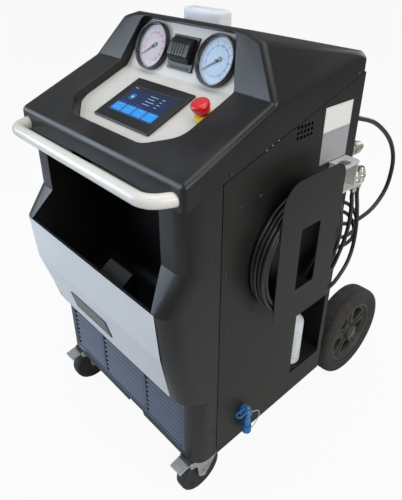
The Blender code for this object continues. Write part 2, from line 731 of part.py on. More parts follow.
def build_screen():
    half_w, half_h = SCREEN_W / 2, SCREEN_H / 2
    bezel = block("screen_bezel", (-half_w, -half_h, GAP), (half_w, half_h, 0.006), "black_abs", 0.0015,
                  parent=DESK)
    inner_w, inner_h = half_w - SCREEN_FLANGE, half_h - SCREEN_FLANGE
    boolean(bezel, block("screen_rear", (-inner_w, -inner_h, -0.024), (inner_w, inner_h, 0.003), parent=DESK),
            "UNION")
    glass_w, glass_h = DISPLAY_W / 2, DISPLAY_H / 2
    seat = 0.0035
    boolean(bezel, block("display_window", (-glass_w - GAP, -glass_h - GAP, seat),
                         (glass_w + GAP, glass_h + GAP, 0.02), parent=DESK))
    block("screen_glass", (-glass_w, -glass_h, seat + GAP), (glass_w, glass_h, seat + GAP + 0.0012),
          "screen_face", parent=DESK)


def build_stop():
    place = dict(parent=DESK, location=(ESTOP_X, ESTOP_ALONG, 0))
    collar = [(0.0, -0.010), (STOP_BORE_R, -0.010), (STOP_BORE_R, 0.006), (STOP_R - 0.0015, 0.006),
              (STOP_R, 0.0045), (STOP_R, GAP), (STOP_BARREL_R, GAP), (STOP_BARREL_R, -0.022), (0.0, -0.022)]
    turned("stop_collar", collar, "stop_yellow", steps=24, **place)
    neck = STOP_BORE_R - GAP
    button = [(0.0, 0.036), (0.0150, 0.0355), (STOP_R - 0.001, 0.033), (STOP_R, 0.029), (STOP_R - 0.001, 0.022),
              (0.0165, 0.0145), (neck, 0.0140), (neck, -0.0045), (0.0, -0.0045)]
    turned("stop_button", button, "stop_red", steps=24, **place)


# Rows of the front shell from the bottom up: height, depth, radius of the vertical corners
BELLY = [(SKIRT_Z, GRILLE_Y, 0.040), (BELLY_LOW_Z - 0.015, GRILLE_Y, 0.040),
         (BELLY_LOW_Z, BELLY_Y + 0.047, 0.045), (BELLY_BEND_Z, BELLY_Y + 0.008, 0.050),
         (BELLY_TOP_Z, BELLY_Y, 0.045), (WING_TOP_Z, SHELL_Y, 0.045), (HOOD_REAR_LOW, SHELL_Y, 0.050)]


def belly_y(z):
    """Depth of the front shell's outer face on the centre plane at a height."""
    for (low, y_low, _), (high, y_high, _) in zip(BELLY, BELLY[1:]):
        if z <= high:
            return y_low + (y_high - y_low) * (z - low) / (high - low)
    return SHELL_Y


def skin(name, rows, finish_name, thickness, drop=0.0, smooth=None):
    """An open surface through polylines from the bottom up, outer face to the right of travel."""
    bm = bmesh.new()
    grid = [[bm.verts.new(point) for point in row] for row in rows]
    for low, high in zip(grid, grid[1:]):
        for i in range(len(low) - 1):
            bm.faces.new((low[i], low[i + 1], high[i + 1], high[i]))
    slice_off(bm, SEAM_POINT - Vector((0, 0, drop)), SEAM_NORMAL, fill=False)
    mesh = bpy.data.meshes.new(name)
    bm.to_mesh(mesh)
    bm.free()
    if smooth:
        mesh.shade_smooth()
        mesh.set_sharp_from_angle(angle=math.radians(smooth))
    obj = adopt(bpy.data.objects.new(name, mesh), finish_name)
    solidify(obj, thickness)
    return obj


def shell_row(z, front, radius):
    half = HALF_WIDTH - 0.0015
    right = []
    for k in range(7):
        turn = math.radians(90) * k / 6
        right.append((half - radius + radius * math.sin(turn), front + radius - radius * math.cos(turn)))
    right.append((half, SEAM_Y))
    row = [(-x, y, z) for x, y in reversed(right)] + [(x, y, z) for x, y in right]
    return row


def build_front_shell():
    rows = [shell_row(z, y, radius) for z, y, radius in BELLY]
    shell = skin("front_shell", rows, "black_abs", SHELL_WALL, smooth=25)
    mouth = fillet([(BIN_HALF, HOOD_REAR_LOW), (BIN_HALF, WING_TOP_Z), (BIN_HALF + BIN_FLARE, BELLY_TOP_Z + 0.0008),
                    (-BIN_HALF - BIN_FLARE, BELLY_TOP_Z + 0.0008), (-BIN_HALF, WING_TOP_Z),
                    (-BIN_HALF, HOOD_REAR_LOW)], [0, 0.04, 0, 0, 0.04, 0], 4)
    boolean(shell, mesh_object("bin_mouth", prism_y(mouth, BELLY_Y - 0.05, SEAM_Y - 0.02)))
    vent = [(-GRILLE_HALF, GRILLE_LOW_Z), (GRILLE_HALF, GRILLE_LOW_Z), (GRILLE_HALF, GRILLE_TOP_Z),
            (-GRILLE_HALF, GRILLE_TOP_Z)]
    boolean(shell, mesh_object("grille_mouth", prism_y(vent, BELLY_Y, GRILLE_Y + 0.015)))
    notch = fillet([(0.010, SKIRT_Z - 0.02), (0.088, SKIRT_Z - 0.02), (0.076, SKIRT_Z + 0.015),
                    (0.016, SKIRT_Z + 0.015)], [0, 0, 0.006, 0.006], 3)
    boolean(shell, mesh_object("skirt_notch", prism_y(notch, BELLY_Y, GRILLE_Y + 0.015)))


def build_bin():
    lip = BELLY_TOP_Z - 0.004
    low = BIN_FLOOR_Z - BIN_WALL
    slack = SHELL_WALL + 0.002
    back = SHELL_Y + BIN_DEPTH
    ceiling = HOOD_FRONT_LOW - 2 * GAP
    mouth_y = SHELL_Y + SHELL_WALL + GAP
    outer = [(belly_y(low) + slack, low), (belly_y(lip) + slack, lip), (mouth_y, WING_TOP_Z - 0.006),
             (mouth_y, ceiling), (back, ceiling), (back, low)]
    outside = fillet(outer, [0.006, 0, 0, 0, 0.012, 0.045], 5)
    half = BIN_HALF + BIN_FLARE + BIN_WALL
    liner = mesh_object("bin_liner", prism_x(outside, half), "black_abs", smooth=30)
    front_in = belly_y(low) + slack + BIN_WALL
    inner = [(front_in, BIN_FLOOR_Z), (belly_y(lip) + slack + BIN_WALL, lip - 0.001),
             (belly_y(lip) + slack + BIN_WALL, lip + 0.002), (BELLY_Y - 0.02, lip + 0.002),
             (BELLY_Y - 0.02, ceiling - BIN_WALL), (back - BIN_WALL, ceiling - BIN_WALL),
             (back - BIN_WALL, BIN_FLOOR_Z)]
    hollow = fillet(inner, [0.004, 0, 0, 0, 0, 0.010, 0.042], 5)
    boolean(liner, mesh_object("bin_hollow", prism_x(hollow, half - BIN_WALL)))
    step_half, step_back, step_top = 0.047, SHELL_Y + 0.050, BELLY_TOP_Z - 0.060
    wedge = [(front_in - 0.002, low + 0.001), (step_back + 0.012, low + 0.001), (step_back, step_top),
             (belly_y(step_top - 0.060) + slack + BIN_WALL / 2, step_top - 0.060)]
    boolean(liner, mesh_object("bin_step", prism_x(fillet(wedge, [0, 0, 0.006, 0], 3), step_half)), "UNION")


def build_front_plate():
    top, low = BELLY_TOP_Z + 0.002, BELLY_LOW_Z
    heights = [top, BELLY_BEND_Z, low]
    faces = [y - GAP for y in (BELLY_Y, belly_y(BELLY_BEND_Z), belly_y(low))]
    inner = list(zip(faces, heights))
    outer = [(y - SHEET, z) for y, z in reversed(inner)]
    sheet = mesh_object("front_plate", prism_x(inner + outer, HALF_WIDTH), "silver_plate")
    top_half, bend_half, low_half = HALF_WIDTH - 0.042, HALF_WIDTH - 0.039, HALF_WIDTH - 0.060
    right = [(top_half, top + 0.01), (top_half, top - 0.001), (bend_half, BELLY_BEND_Z), (low_half, low)]
    outline = right + [(-x, z) for x, z in reversed(right)]
    shape = fillet(outline, [0, 0, 0.02, 0.010, 0.010, 0.02, 0, 0], 4)
    boolean(sheet, mesh_object("plate_outline", prism_y(shape, BELLY_Y - 0.05, SHELL_Y + 0.05)), "INTERSECT")


def build_grille():
    half, low, top = GRILLE_HALF - GAP, GRILLE_LOW_Z + GAP, GRILLE_TOP_Z - GAP
    rim, bar, bar_x = 0.006, 0.004, HALF_WIDTH * 0.32
    outline = [(-half, low), (half, low), (half, top), (-half, top)]
    spans = [(-half + rim, -bar_x - bar), (-bar_x + bar, bar_x - bar), (bar_x + bar, half - rim)]
    windows = [[(a, low + rim), (b, low + rim), (b, top - rim), (a, top - rim)] for a, b in spans]
    middle = GRILLE_Y + GRILLE_THICK / 2
    grille = plate("front_grille", outline, GRILLE_THICK, "grille_black", holes=windows,
                   location=(0, middle, 0), rotation=FACE_ON)
    pitch = (top - low - 2 * rim) / SLATS
    blades = []
    for i in range(SLATS):
        bm = block_mesh((-half + rim / 2, -0.0062, -0.0013), (half - rim / 2, 0.0062, 0.0013))
        lean = Matrix.Rotation(math.radians(38), 4, "X")
        lift = Matrix.Translation((0, middle, low + rim + pitch * (i + 0.5)))
        bmesh.ops.transform(bm, matrix=lift @ lean, verts=bm.verts)
        blades.append(bm)
    boolean(grille, mesh_object("grille_blades", merged(*blades)), "UNION")


def vent_grid(name, sign):
    """A grid of square holes through a side panel."""
    holes = []
    for col in range(VENT_COLS):
        for row in range(VENT_ROWS):
            y = VENT_Y + (col - (VENT_COLS - 1) / 2) * VENT_PITCH
            z = VENT_Z + (row - (VENT_ROWS - 1) / 2) * VENT_PITCH
            low = (sign * HALF_WIDTH - 0.01, y - VENT_HOLE / 2, z - VENT_HOLE / 2)
            high = (sign * HALF_WIDTH + 0.01, y + VENT_HOLE / 2, z + VENT_HOLE / 2)
            holes.append(block_mesh(low, high))
    return mesh_object(name, merged(*holes))


def build_side_panels():
    right = [(HALF_WIDTH, SEAM_Y + GAP), (HALF_WIDTH, 0.0), (HALF_WIDTH - FLANGE, 0.0)]
    left = [(-x, y) for x, y in reversed(right)]
    for name, plan in (("side_panel_right", right), ("side_panel_left", left)):
        rows = [[(x, y, z) for x, y in plan] for z in (SKIRT_Z, HOOD_REAR_LOW + 0.05)]
        panel = skin(name, rows, "black_paint", SHEET, drop=SEAM_RISE * SHEET)
        boolean(panel, vent_grid(name + "_vents", 1 if plan is right else -1))
        if plan is right:
            low, high = zip(BOTTLE_SLOT_Y, BOTTLE_SLOT_Z)
            boolean(panel, block("bottle_slot", (HALF_WIDTH - 0.01, *low), (HALF_WIDTH + 0.01, *high)))
            boolean(panel, rod("drain_hole", VALVE_STEM_R + GAP, (HALF_WIDTH - 0.01, DRAIN_Y, DRAIN_Z),
                               (HALF_WIDTH + 0.01, DRAIN_Y, DRAIN_Z)))


# Ports of the rear panel: x, z and hose radius
REAR_PORTS = [(HALF_WIDTH - 0.038, 0.640, HOSE_R), (HALF_WIDTH - 0.038, 0.668, HOSE_R),
              (HALF_WIDTH - 0.060, 0.900, REAR_HOSE_R), (HALF_WIDTH - 0.150, 0.600, REAR_HOSE_R)]


def build_rear_panel():
    half = HALF_WIDTH - SHEET - GAP
    top = seam_z(PANEL_BACK_Y - SHEET) - GAP
    outline = [(-half, SKIRT_Z), (half, SKIRT_Z), (half, top), (-half, top)]
    left, right = -0.6 * HALF_WIDTH, HALF_WIDTH / 3
    slots = []
    for i in range(LOUVRES):
        low = LOUVRE_LOW_Z + LOUVRE_PITCH * i
        high = low + 0.45 * LOUVRE_PITCH
        slots.append(fillet([(left, low), (right, low), (right, high), (left, high)], 0.003, 1))
    (x0, x1), (z0, z1) = INLET_X, INLET_Z
    slots.append([(x0 - GAP, z0 - GAP), (x1 + GAP, z0 - GAP), (x1 + GAP, z1 + GAP), (x0 - GAP, z1 + GAP)])
    panel = plate("rear_panel", outline, SHEET, "black_paint", holes=slots,
                  location=(0, PANEL_BACK_Y - SHEET / 2, 0), rotation=FACE_ON)
    bosses = [rod_mesh(radius + 0.004, (x, PANEL_BACK_Y - SHEET / 2, z), (x, PORT_REACH, z), 16)
              for x, z, radius in REAR_PORTS]
    boolean(panel, mesh_object("rear_ports", merged(*bosses)), "UNION")
    return panel


def build_inlet():
    (x0, x1), (z0, z1) = INLET_X, INLET_Z
    edge = 0.006
    front = PANEL_BACK_Y + GAP
    inlet = block("mains_inlet", (x0 - edge, front, z0 - edge), (x1 + edge, front + 0.003, z1 + edge),
                  "black_abs", 0.001)
    boolean(inlet, block("inlet_body", (x0, front - 0.030, z0), (x1, front + 0.001, z1)), "UNION")
    socket = block("inlet_socket", (x0 + 0.010, front - 0.020, z0 + 0.006), (x1 - 0.032, front + 0.01, z1 - 0.028))
    boolean(inlet, socket)
    well = block("rocker_well", (x1 - 0.026, front - 0.014, z0 + 0.010), (x1 - 0.006, front + 0.01, z1 - 0.010))
    boolean(inlet, well)
    mid_x, mid_z = x1 - 0.016, (z0 + z1) / 2
    half_h = (z1 - z0) / 2 - 0.0112
    rocker = fillet([(0.0035, -half_h), (0.0010, 0.0), (0.0035, half_h), (-0.0060, half_h * 0.8),
                     (-0.0095, 0.0), (-0.0060, -half_h * 0.8)], [0.001, 0.010, 0.001, 0.001, 0.002, 0.001], 2)
    mesh_object("power_rocker", prism_x(rocker, 0.0095), "black_abs", location=(mid_x, front, mid_z))


def build_handle():
    tube("handle_bar", handle_route(), HANDLE_R, "handle_paint", 4)


def build_base():
    half = HALF_WIDTH - SHEET - SHELL_WALL - GAP
    front, rear = GRILLE_Y + SHELL_WALL + GAP, PANEL_BACK_Y - SHEET - GAP
    sheet = 0.002

    def tray_block(name, inset, low, high, finish_name=None):
        outline = [(half - inset, rear - inset), (-half + inset, rear - inset), (-half + inset, front + inset),
                   (half - inset, front + inset)]
        shape = fillet(outline, [0, 0, 0.037 - inset, 0.037 - inset], 4)
        return plate(name, shape, high - low, finish_name, location=(0, 0, (low + high) / 2))

    low = TRAY_Z - TRAY_SKIRT
    tray = tray_block("base_tray", 0.0, low, TRAY_Z, "black_paint")
    boolean(tray, tray_block("tray_hollow", sheet, low - sheet, TRAY_Z - sheet))


def build_platform():
    sheet, low = 0.003, PLATFORM_Z - PLATFORM_FALL
    front = PANEL_BACK_Y + GAP
    deck = block("rear_platform", (-PLATFORM_HALF, front, low), (PLATFORM_HALF, PLATFORM_REACH, PLATFORM_Z),
                 "black_paint")
    boolean(deck, block("platform_hollow", (sheet - PLATFORM_HALF, front + sheet, low - sheet),
                        (PLATFORM_HALF - sheet, PLATFORM_REACH - sheet, PLATFORM_Z - sheet)))
    boolean(deck, rod("axle_bore", AXLE_R + GAP, (-HALF_WIDTH, WHEEL_SETBACK, WHEEL_R),
                      (HALF_WIDTH, WHEEL_SETBACK, WHEEL_R)))
    end = HALF_WIDTH - 0.003
    rod("axle", AXLE_R, (-end, WHEEL_SETBACK, WHEEL_R), (end, WHEEL_SETBACK, WHEEL_R), "zinc")


def build_wheel(side, sign):
    """The wheel's local Z points outwards along the axle."""
    outer = HALF_WIDTH + WHEEL_OUT
    inner = outer - WHEEL_W
    place = dict(location=(sign * (outer + inner) / 2, WHEEL_SETBACK, WHEEL_R),
                 rotation=(0, sign * math.radians(90), 0))
    half, seat = WHEEL_W / 2, RIM_R + GAP
    tyre = [(seat, half - 0.006), (RIM_R + 0.010, half - 0.004), (WHEEL_R - 0.020, half),
            (WHEEL_R - 0.006, half - 0.006), (WHEEL_R, half - 0.016), (WHEEL_R, 0.016 - half),
            (WHEEL_R - 0.006, 0.006 - half), (WHEEL_R - 0.020, -half), (RIM_R + 0.010, 0.004 - half),
            (seat, 0.006 - half)]
    turned("wheel_%s_tyre" % side, tyre, "tyre_rubber", closed=True, steps=WHEEL_SIDES, **place)
    bore, web, reach = AXLE_R + GAP, 0.006, inner - PLATFORM_HALF - 0.002
    hub = [(RIM_R - 0.008, half - 0.006), (RIM_R, half - 0.008), (RIM_R, 0.008 - half),
           (RIM_R - 0.008, 0.006 - half), (RIM_R - 0.012, -web), (0.030, -web), (0.028, -half - reach),
           (bore, -half - reach), (bore, half - 0.003), (0.026, half - 0.003), (0.030, web),
           (RIM_R - 0.012, web)]
    hub_obj = turned("wheel_%s_hub" % side, hub, "hub_grey", closed=True, steps=WHEEL_SIDES, **place)
    windows = []
    for k in range(WHEEL_WINDOWS):
        turn = Matrix.Rotation(2 * math.pi * k / WHEEL_WINDOWS, 4, "Z")
        span = math.radians(180 / WHEEL_WINDOWS - 8)
        near, far = 0.042, RIM_R - 0.020
        shape = [(far * math.cos(span), -far * math.sin(span)), (far * 1.05, 0.0),
                 (far * math.cos(span), far * math.sin(span)), (near * math.cos(span), near * math.sin(span) * 0.7),
                 (near * math.cos(span), -near * math.sin(span) * 0.7)]
        bm = as_mesh(sheet_curve("window", fillet(shape, [0.008, 0.05, 0.008, 0.006, 0.006], 2), 4 * web))
        bmesh.ops.transform(bm, matrix=turn, verts=bm.verts)
        windows.append(bm)
    boolean(hub_obj, mesh_object("wheel_windows_" + side, merged(*windows), **place))


def build_caster(side, sign):
    """Local origin on the floor under the swivel axis; the wheel trails towards -Y."""
    swivel = empty("caster_%s_swivel" % side, STATION, (sign * CASTER_X, CASTER_Y, 0))
    under = TRAY_Z - 0.002 - GAP
    plate_t, race_low, bridge_low = 0.003, 0.131, 0.1275
    pad = block("caster_%s_plate" % side, (-0.031, -0.044, under - plate_t), (0.031, 0.044, under), "zinc",
                parent=swivel)
    king_pin = rod("caster_%s_pin" % side, 0.0060, (0, 0, race_low + 0.0015), (0, 0, under - 0.001), parent=swivel)
    boolean(pad, king_pin, "UNION")
    race = [(0.029, under - plate_t - GAP), (0.031, under - plate_t - 0.003), (0.031, race_low + 0.002),
            (0.017, race_low - 0.0015), (0.0063, race_low - 0.0015), (0.0063, under - plate_t - GAP)]
    fork = turned("caster_%s_fork" % side, race, "zinc", closed=True, steps=20, parent=swivel)
    leg_in = CASTER_W / 2 + 0.0035
    leg_out = leg_in + 0.003
    axle_z, trail = CASTER_R, -CASTER_TRAIL
    cheek = fillet([(0.026, race_low), (BRAKE_Y - 0.006, race_low), (BRAKE_Y - 0.006, 0.114), (-0.058, 0.104),
                    (trail - 0.013, axle_z - 0.011), (trail + 0.013, axle_z - 0.011), (0.020, 0.112)],
                   [0.004, 0.004, 0.003, 0.010, 0.012, 0.012, 0.012], 3)
    cheeks = [prism_x(cheek, 0.0015, offset=s * (leg_in + leg_out) / 2) for s in (-1, 1)]
    bridge = block_mesh((-leg_out + 0.001, -0.060, bridge_low), (leg_out - 0.001, 0.023, race_low - 0.0004))
    boolean(fork, mesh_object("caster_%s_bridge" % side, bridge, parent=swivel), "UNION")
    boolean(fork, mesh_object("caster_%s_cheeks" % side, merged(*cheeks), parent=swivel), "UNION")
    pin = rod("caster_%s_bolt" % side, 0.005, (-leg_out - 0.003, trail, axle_z), (leg_out + 0.003, trail, axle_z),
              sides=16, parent=swivel)
    boolean(fork, pin, "UNION")
    half, bore = CASTER_W / 2, 0.005 + GAP
    tread = [(CASTER_R - 0.005, half), (CASTER_R, half - 0.005), (CASTER_R, 0.005 - half),
             (CASTER_R - 0.005, -half), (CASTER_R - 0.016, 0.004 - half), (0.016, 0.004 - half), (0.012, -half),
             (bore, -half), (bore, half), (0.012, half), (0.016, half - 0.004), (CASTER_R - 0.016, half - 0.004)]
    turned("caster_%s_wheel" % side, tread, "tyre_rubber", closed=True, steps=24, parent=swivel,
           location=(0, trail, axle_z), rotation=(0, math.radians(90), 0))
    pedal = fillet([(0.004, -0.006), (0.004, 0.002), (-0.012, 0.006), (-0.040, 0.000), (-0.040, -0.004),
                    (-0.012, 0.001), (-0.004, -0.006)], [0.002, 0.002, 0.006, 0.001, 0.001, 0.006, 0.002], 2)
    mesh_object("caster_%s_brake" % side, prism_x(pedal, leg_in - GAP), "zinc", parent=swivel,
                location=(0, BRAKE_Y, BRAKE_Z))


def build_hanger():
    high, low, half = HANGER_TOP_Z, HANGER_LOW_Z, HANGER_HALF
    outline = fillet([(-half, low - COIL_Z), (half, low - COIL_Z), (half, high - COIL_Z), (-half, high - COIL_Z)],
                     [0.030, 0.008, 0.035, 0.055], 6)
    y0, y1, z0, z1 = HANGER_WINDOW
    window = fillet([(y0, z0), (y1, z0), (y1, z1), (y0, z1)], 0.003, 2)
    middle = HANGER_X + HANGER_SHEET / 2
    hanger = plate("hose_hanger", outline, HANGER_SHEET, "black_paint", holes=[window],
                   location=(middle, HANGER_Y, COIL_Z), rotation=SIDE_ON)
    r_in, r_out = COIL_BORE - SADDLE_SLACK - 0.003, COIL_BORE - SADDLE_SLACK
    turns = [math.radians(50 + 80 * k / 12) for k in range(13)]
    saddle = [(r_out * math.cos(t), r_out * math.sin(t)) for t in turns]
    saddle += [(r_in * math.cos(t), r_in * math.sin(t)) for t in reversed(turns)]
    inner = HALF_WIDTH + GAP
    reach = HANGER_X + HANGER_SHEET / 2 - inner
    bm = prism_x(saddle, reach / 2, offset=inner + reach / 2)
    foot = block_mesh((inner, -0.030, COIL_LOW_FOOT), (inner + reach, 0.030, COIL_LOW_FOOT + 0.014))
    feet = mesh_object("hanger_feet", merged(bm, foot), location=(0, HANGER_Y, COIL_Z))
    boolean(hanger, feet, "UNION")


def build_coil():
    low, high = HALF_WIDTH + 0.002, HANGER_X - 0.002
    half = (high - low) / 2
    edge = 0.006
    ring = [(COIL_R - edge, half), (COIL_R, half - edge), (COIL_R, edge - half), (COIL_R - edge, -half),
            (COIL_BORE + edge, -half), (COIL_BORE, edge - half), (COIL_BORE, half - edge), (COIL_BORE + edge, half)]
    turned("hose_coil", ring, "hose_black", closed=True, steps=36, location=((low + high) / 2, HANGER_Y, COIL_Z),
           rotation=(0, math.radians(90), 0))


def build_couplers():
    for name, (x, y) in (("high", COUPLER_HIGH), ("low", COUPLER_LOW)):
        body = [(0.0, 0.052), (0.0075, 0.052), (0.0085, 0.0505), (0.0085, 0.045), (COUPLER_R, 0.044),
                (COUPLER_R, HOLDER_LIFT + 0.010), (COUPLER_R + 0.002, HOLDER_LIFT + 0.008),
                (COUPLER_R + 0.002, HOLDER_LIFT + GAP), (COUPLER_R, HOLDER_LIFT + GAP), (COUPLER_R, 0.015),
                (0.0065, 0.011), (0.0065, 0.0), (0.0, 0.0)]
        turned("coupler_" + name, body, "nickel", steps=16, location=(x, y, COUPLER_Z))


def build_holder():
    """Two shelves joined by an upright web: the lower one carries the couplers."""
    sheet = 0.004
    low = COUPLER_Z + HOLDER_LIFT - sheet
    crown = low + HOLDER_H
    (high_x, high_y), (low_x, low_y) = COUPLER_HIGH, COUPLER_LOW
    front, web_y, brow, rear = HOLDER_FRONT_Y, high_y - 0.024, high_y - 0.008, low_y + 0.0165
    inner, outer = HALF_WIDTH + GAP, HANGER_X
    shelf = fillet([(inner, front), (outer, front), (outer, high_y + 0.006), (low_x + 0.002, rear),
                    (inner, rear)], [0, 0.004, 0.014, 0.010, 0], 4)
    holder = plate("coupler_holder", shelf, sheet, "bracket_grey", location=(0, 0, low + sheet / 2))
    roof = fillet([(inner, front), (outer, front), (outer, brow), (inner, brow)], [0, 0.004, 0.016, 0], 4)
    loop = fillet([(inner + 0.010, front + 0.008), (outer - 0.009, front + 0.008), (outer - 0.009, web_y - 0.010),
                   (inner + 0.010, web_y - 0.010)], 0.008, 3)
    upper = plate("holder_roof", roof, sheet, holes=[loop], location=(0, 0, crown - sheet / 2))
    boolean(holder, upper, "UNION")
    boolean(holder, block("holder_web", (inner, web_y - sheet / 2, low + sheet / 2),
                          (outer - 0.0005, web_y + sheet / 2, crown - sheet / 2)), "UNION")
    boolean(holder, block("holder_foot", (inner, front + 0.002, low + sheet / 2),
                          (inner + 0.002, brow - 0.002, crown - sheet / 2)), "UNION")
    bores = [rod_mesh(COUPLER_R + GAP, (x, y, low - 0.01), (x, y, low + 2 * sheet))
             for x, y in (COUPLER_HIGH, COUPLER_LOW)]
    boolean(holder, mesh_object("holder_bores", merged(*bores)))


def build_hoses():
    side = HALF_WIDTH
    end_z = COUPLER_Z - GAP
    (high_x, high_y), (low_x, low_y) = COUPLER_HIGH, COUPLER_LOW
    leads = {
        "hose_lead_high": [(side + 0.0230, -0.1090, 0.5378), (side + 0.0240, -0.0800, 0.5290),
                           (side + 0.0250, -0.0560, 0.5370), (side + 0.0260, -0.0347, 0.5770),
                           (side + 0.0280, -0.0193, 0.6213), (side + 0.0290, -0.0149, 0.6684),
                           (high_x, high_y + 0.005, end_z - 0.033), (high_x, high_y, end_z - 0.016),
                           (high_x, high_y, end_z)],
        "hose_lead_low": [(side + 0.0382, -0.1320, 0.5228), (side + 0.0382, -0.1000, 0.5060),
                          (side + 0.0382, -0.0700, 0.5010), (side + 0.0380, -0.0400, 0.5110),
                          (side + 0.0360, -0.0013, 0.5400), (side + 0.0315, 0.0220, 0.5831),
                          (side + 0.0265, 0.0290, 0.6393), (side + 0.0245, 0.0197, 0.6911),
                          (low_x, low_y + 0.003, end_z - 0.026), (low_x, low_y, end_z - 0.012),
                          (low_x, low_y, end_z)],
    }
    port_x, gap_y = REAR_PORTS[0][0], PORT_REACH + GAP
    tails = (("hose_tail_high", REAR_PORTS[0][1], -0.0480), ("hose_tail_low", REAR_PORTS[1][1], -0.0430))
    for name, z, start in tails:
        leads[name] = [(side + 0.009, start + 0.006, z), (side + 0.009, -0.015, z), (side + 0.007, 0.016, z),
                       (side - 0.005, 0.042, z), (side - 0.028, 0.050, z), (port_x, gap_y + 0.016, z),
                       (port_x, gap_y, z)]
    for name, route in leads.items():
        tube(name, smooth_route(route, 3 * HOSE_R), HOSE_R, "hose_black", 2)
    (x_top, z_top, _), (x_low, z_low, _) = REAR_PORTS[2:]
    loop = [(x_top, gap_y, z_top), (x_top, gap_y + 0.030, z_top), (x_top + 0.006, 0.086, 0.886),
            (x_top + 0.010, 0.177, 0.853), (x_top + 0.012, 0.262, 0.795), (x_top + 0.012, 0.312, 0.735),
            (x_top + 0.012, 0.328, 0.675), (x_top + 0.010, 0.312, 0.605), (x_top, 0.252, 0.552),
            (x_low + 0.065, 0.170, 0.535), (x_low + 0.014, 0.112, 0.580), (x_low, gap_y + 0.060, z_low),
            (x_low, gap_y + 0.030, z_low), (x_low, gap_y, z_low)]
    tube("rear_hose", smooth_route(loop, 4.5 * REAR_HOSE_R), REAR_HOSE_R, "hose_black", 2)


def build_rear_fitting():
    start = PANEL_BACK_Y + GAP
    nut, step = 0.0165, 0.0022
    body = [(0.0, 0.080), (0.009, 0.080), (0.012, 0.078), (0.012, 0.066), (nut, 0.064), (nut, 0.044),
            (0.013, 0.042), (0.013, 0.036), (nut + 0.001, 0.034), (nut + 0.001, 0.012 + step), (0.012, 0.011),
            (0.012, start), (0.0, start)]
    turned("rear_fitting", body, "nickel", steps=18, location=(FITTING_X, 0, FITTING_Z),
           rotation=(math.radians(-90), 0, 0))


def build_bottle():
    x, y = BOTTLE_AT
    shelf_top = BOTTLE_SLOT_Z[0] + 0.0035
    wall_r, neck = 0.0015, 0.013
    low, high = GAP, BOTTLE_H
    shoulder = high - 0.040
    outer = [(neck, high), (neck, high - 0.022), (neck + 0.006, shoulder + 0.008), (BOTTLE_R - 0.003, shoulder),
             (BOTTLE_R, shoulder - 0.006), (BOTTLE_R, low + 0.004), (BOTTLE_R - 0.004, low), (0.0, low)]
    inner = [(0.0, low + wall_r), (BOTTLE_R - 0.005, low + wall_r), (BOTTLE_R - wall_r, low + 0.005),
             (BOTTLE_R - wall_r, shoulder - 0.0065), (BOTTLE_R - 0.0045, shoulder - 0.001),
             (neck + 0.005, shoulder + 0.0065), (neck - wall_r, high - 0.023), (neck - wall_r, high)]
    turned("oil_bottle", inner + outer, "milky_plastic", steps=20, location=(x, y, shelf_top))
    skirt = neck + GAP
    cap = [(0.0, high + 0.004), (skirt + 0.001, high + 0.004), (skirt + 0.0022, high + 0.002),
           (skirt + 0.0022, high - 0.014), (skirt, high - 0.014), (skirt, high + GAP), (0.0, high + GAP)]
    turned("bottle_cap", cap, "white_plastic", steps=20, location=(x, y, shelf_top))
    return shelf_top


def build_shelf(panel):
    """The shelf that the bottle stands on is folded out of the rear panel's inner side."""
    x, y = BOTTLE_AT
    top = BOTTLE_SLOT_Z[0] + 0.0035
    sheet = 0.002
    reach = y - BOTTLE_R - 0.006
    edge = HALF_WIDTH - SHEET - FLANGE / 10
    section = [(PANEL_BACK_Y - SHEET / 2, top), (reach, top), (reach, top + 0.008), (reach - sheet, top + 0.008),
               (reach - sheet, top - sheet), (PANEL_BACK_Y - SHEET / 2, top - sheet)]
    half = (edge - (x - BOTTLE_R - 0.006)) / 2
    bm = prism_x(section, half, offset=edge - half)
    boolean(panel, mesh_object("bottle_shelf", bm), "UNION")


def build_drain():
    place = dict(location=(0, DRAIN_Y, DRAIN_Z))
    body = turned("drain_valve", [(0.0, VALVE_X + VALVE_R - 0.002), (VALVE_R - 0.002, VALVE_X + VALVE_R - 0.002),
                                  (VALVE_R, VALVE_X + VALVE_R - 0.004), (VALVE_R, HALF_WIDTH + 0.007),
                                  (0.0145, HALF_WIDTH + 0.006), (0.0145, HALF_WIDTH + GAP),
                                  (VALVE_STEM_R, HALF_WIDTH + GAP), (VALVE_STEM_R, HALF_WIDTH - 0.020),
                                  (0.0, HALF_WIDTH - 0.020)],
                  "brass", steps=18, rotation=(0, math.radians(90), 0), **place)
    spout = turned("drain_spout", [(0.0, 0.006), (0.0080, 0.006), (0.0080, -0.020), (0.0100, -0.022),
                                   (0.0100, -0.038), (0.0085, -0.040), (0.0085, -0.062), (0.0070, -0.064),
                                   (0.0, -0.064)], steps=16, location=(VALVE_X, DRAIN_Y, DRAIN_Z))
    boolean(body, spout, "UNION")
    stem = rod("drain_stem", 0.004, (VALVE_X, DRAIN_Y, DRAIN_Z), (VALVE_X, DRAIN_Y, DRAIN_Z + LEVER_LIFT), sides=16)
    boolean(body, stem, "UNION")
    length, half = 0.040, 0.0085
    outline = fillet([(-half, half), (-half, -length), (half, -length), (half, half)], [half * 0.8] * 4, 4)
    loop = fillet([(-half + 0.003, -0.012), (-half + 0.003, -length + 0.003), (half - 0.003, -length + 0.003),
                   (half - 0.003, -0.012)], 0.003, 3)
    lever_t = 0.004
    plate("drain_lever", outline, lever_t, "valve_blue", holes=[loop],
          location=(VALVE_X, DRAIN_Y, DRAIN_Z + LEVER_LIFT + GAP + lever_t / 2))


def build_module():
    (x0, x1), (y0, y1) = MODULE_X, MODULE_Y
    module = block("top_module", (x0, y0, DECK_REAR_Z - 0.03), (x1, y1, MODULE_TOP_Z), "white_plastic", 0.008)
    deck = hood_form()
    bmesh.ops.translate(deck, vec=(0, 0, GAP), verts=deck.verts)
    boolean(module, mesh_object("deck_seat", deck))


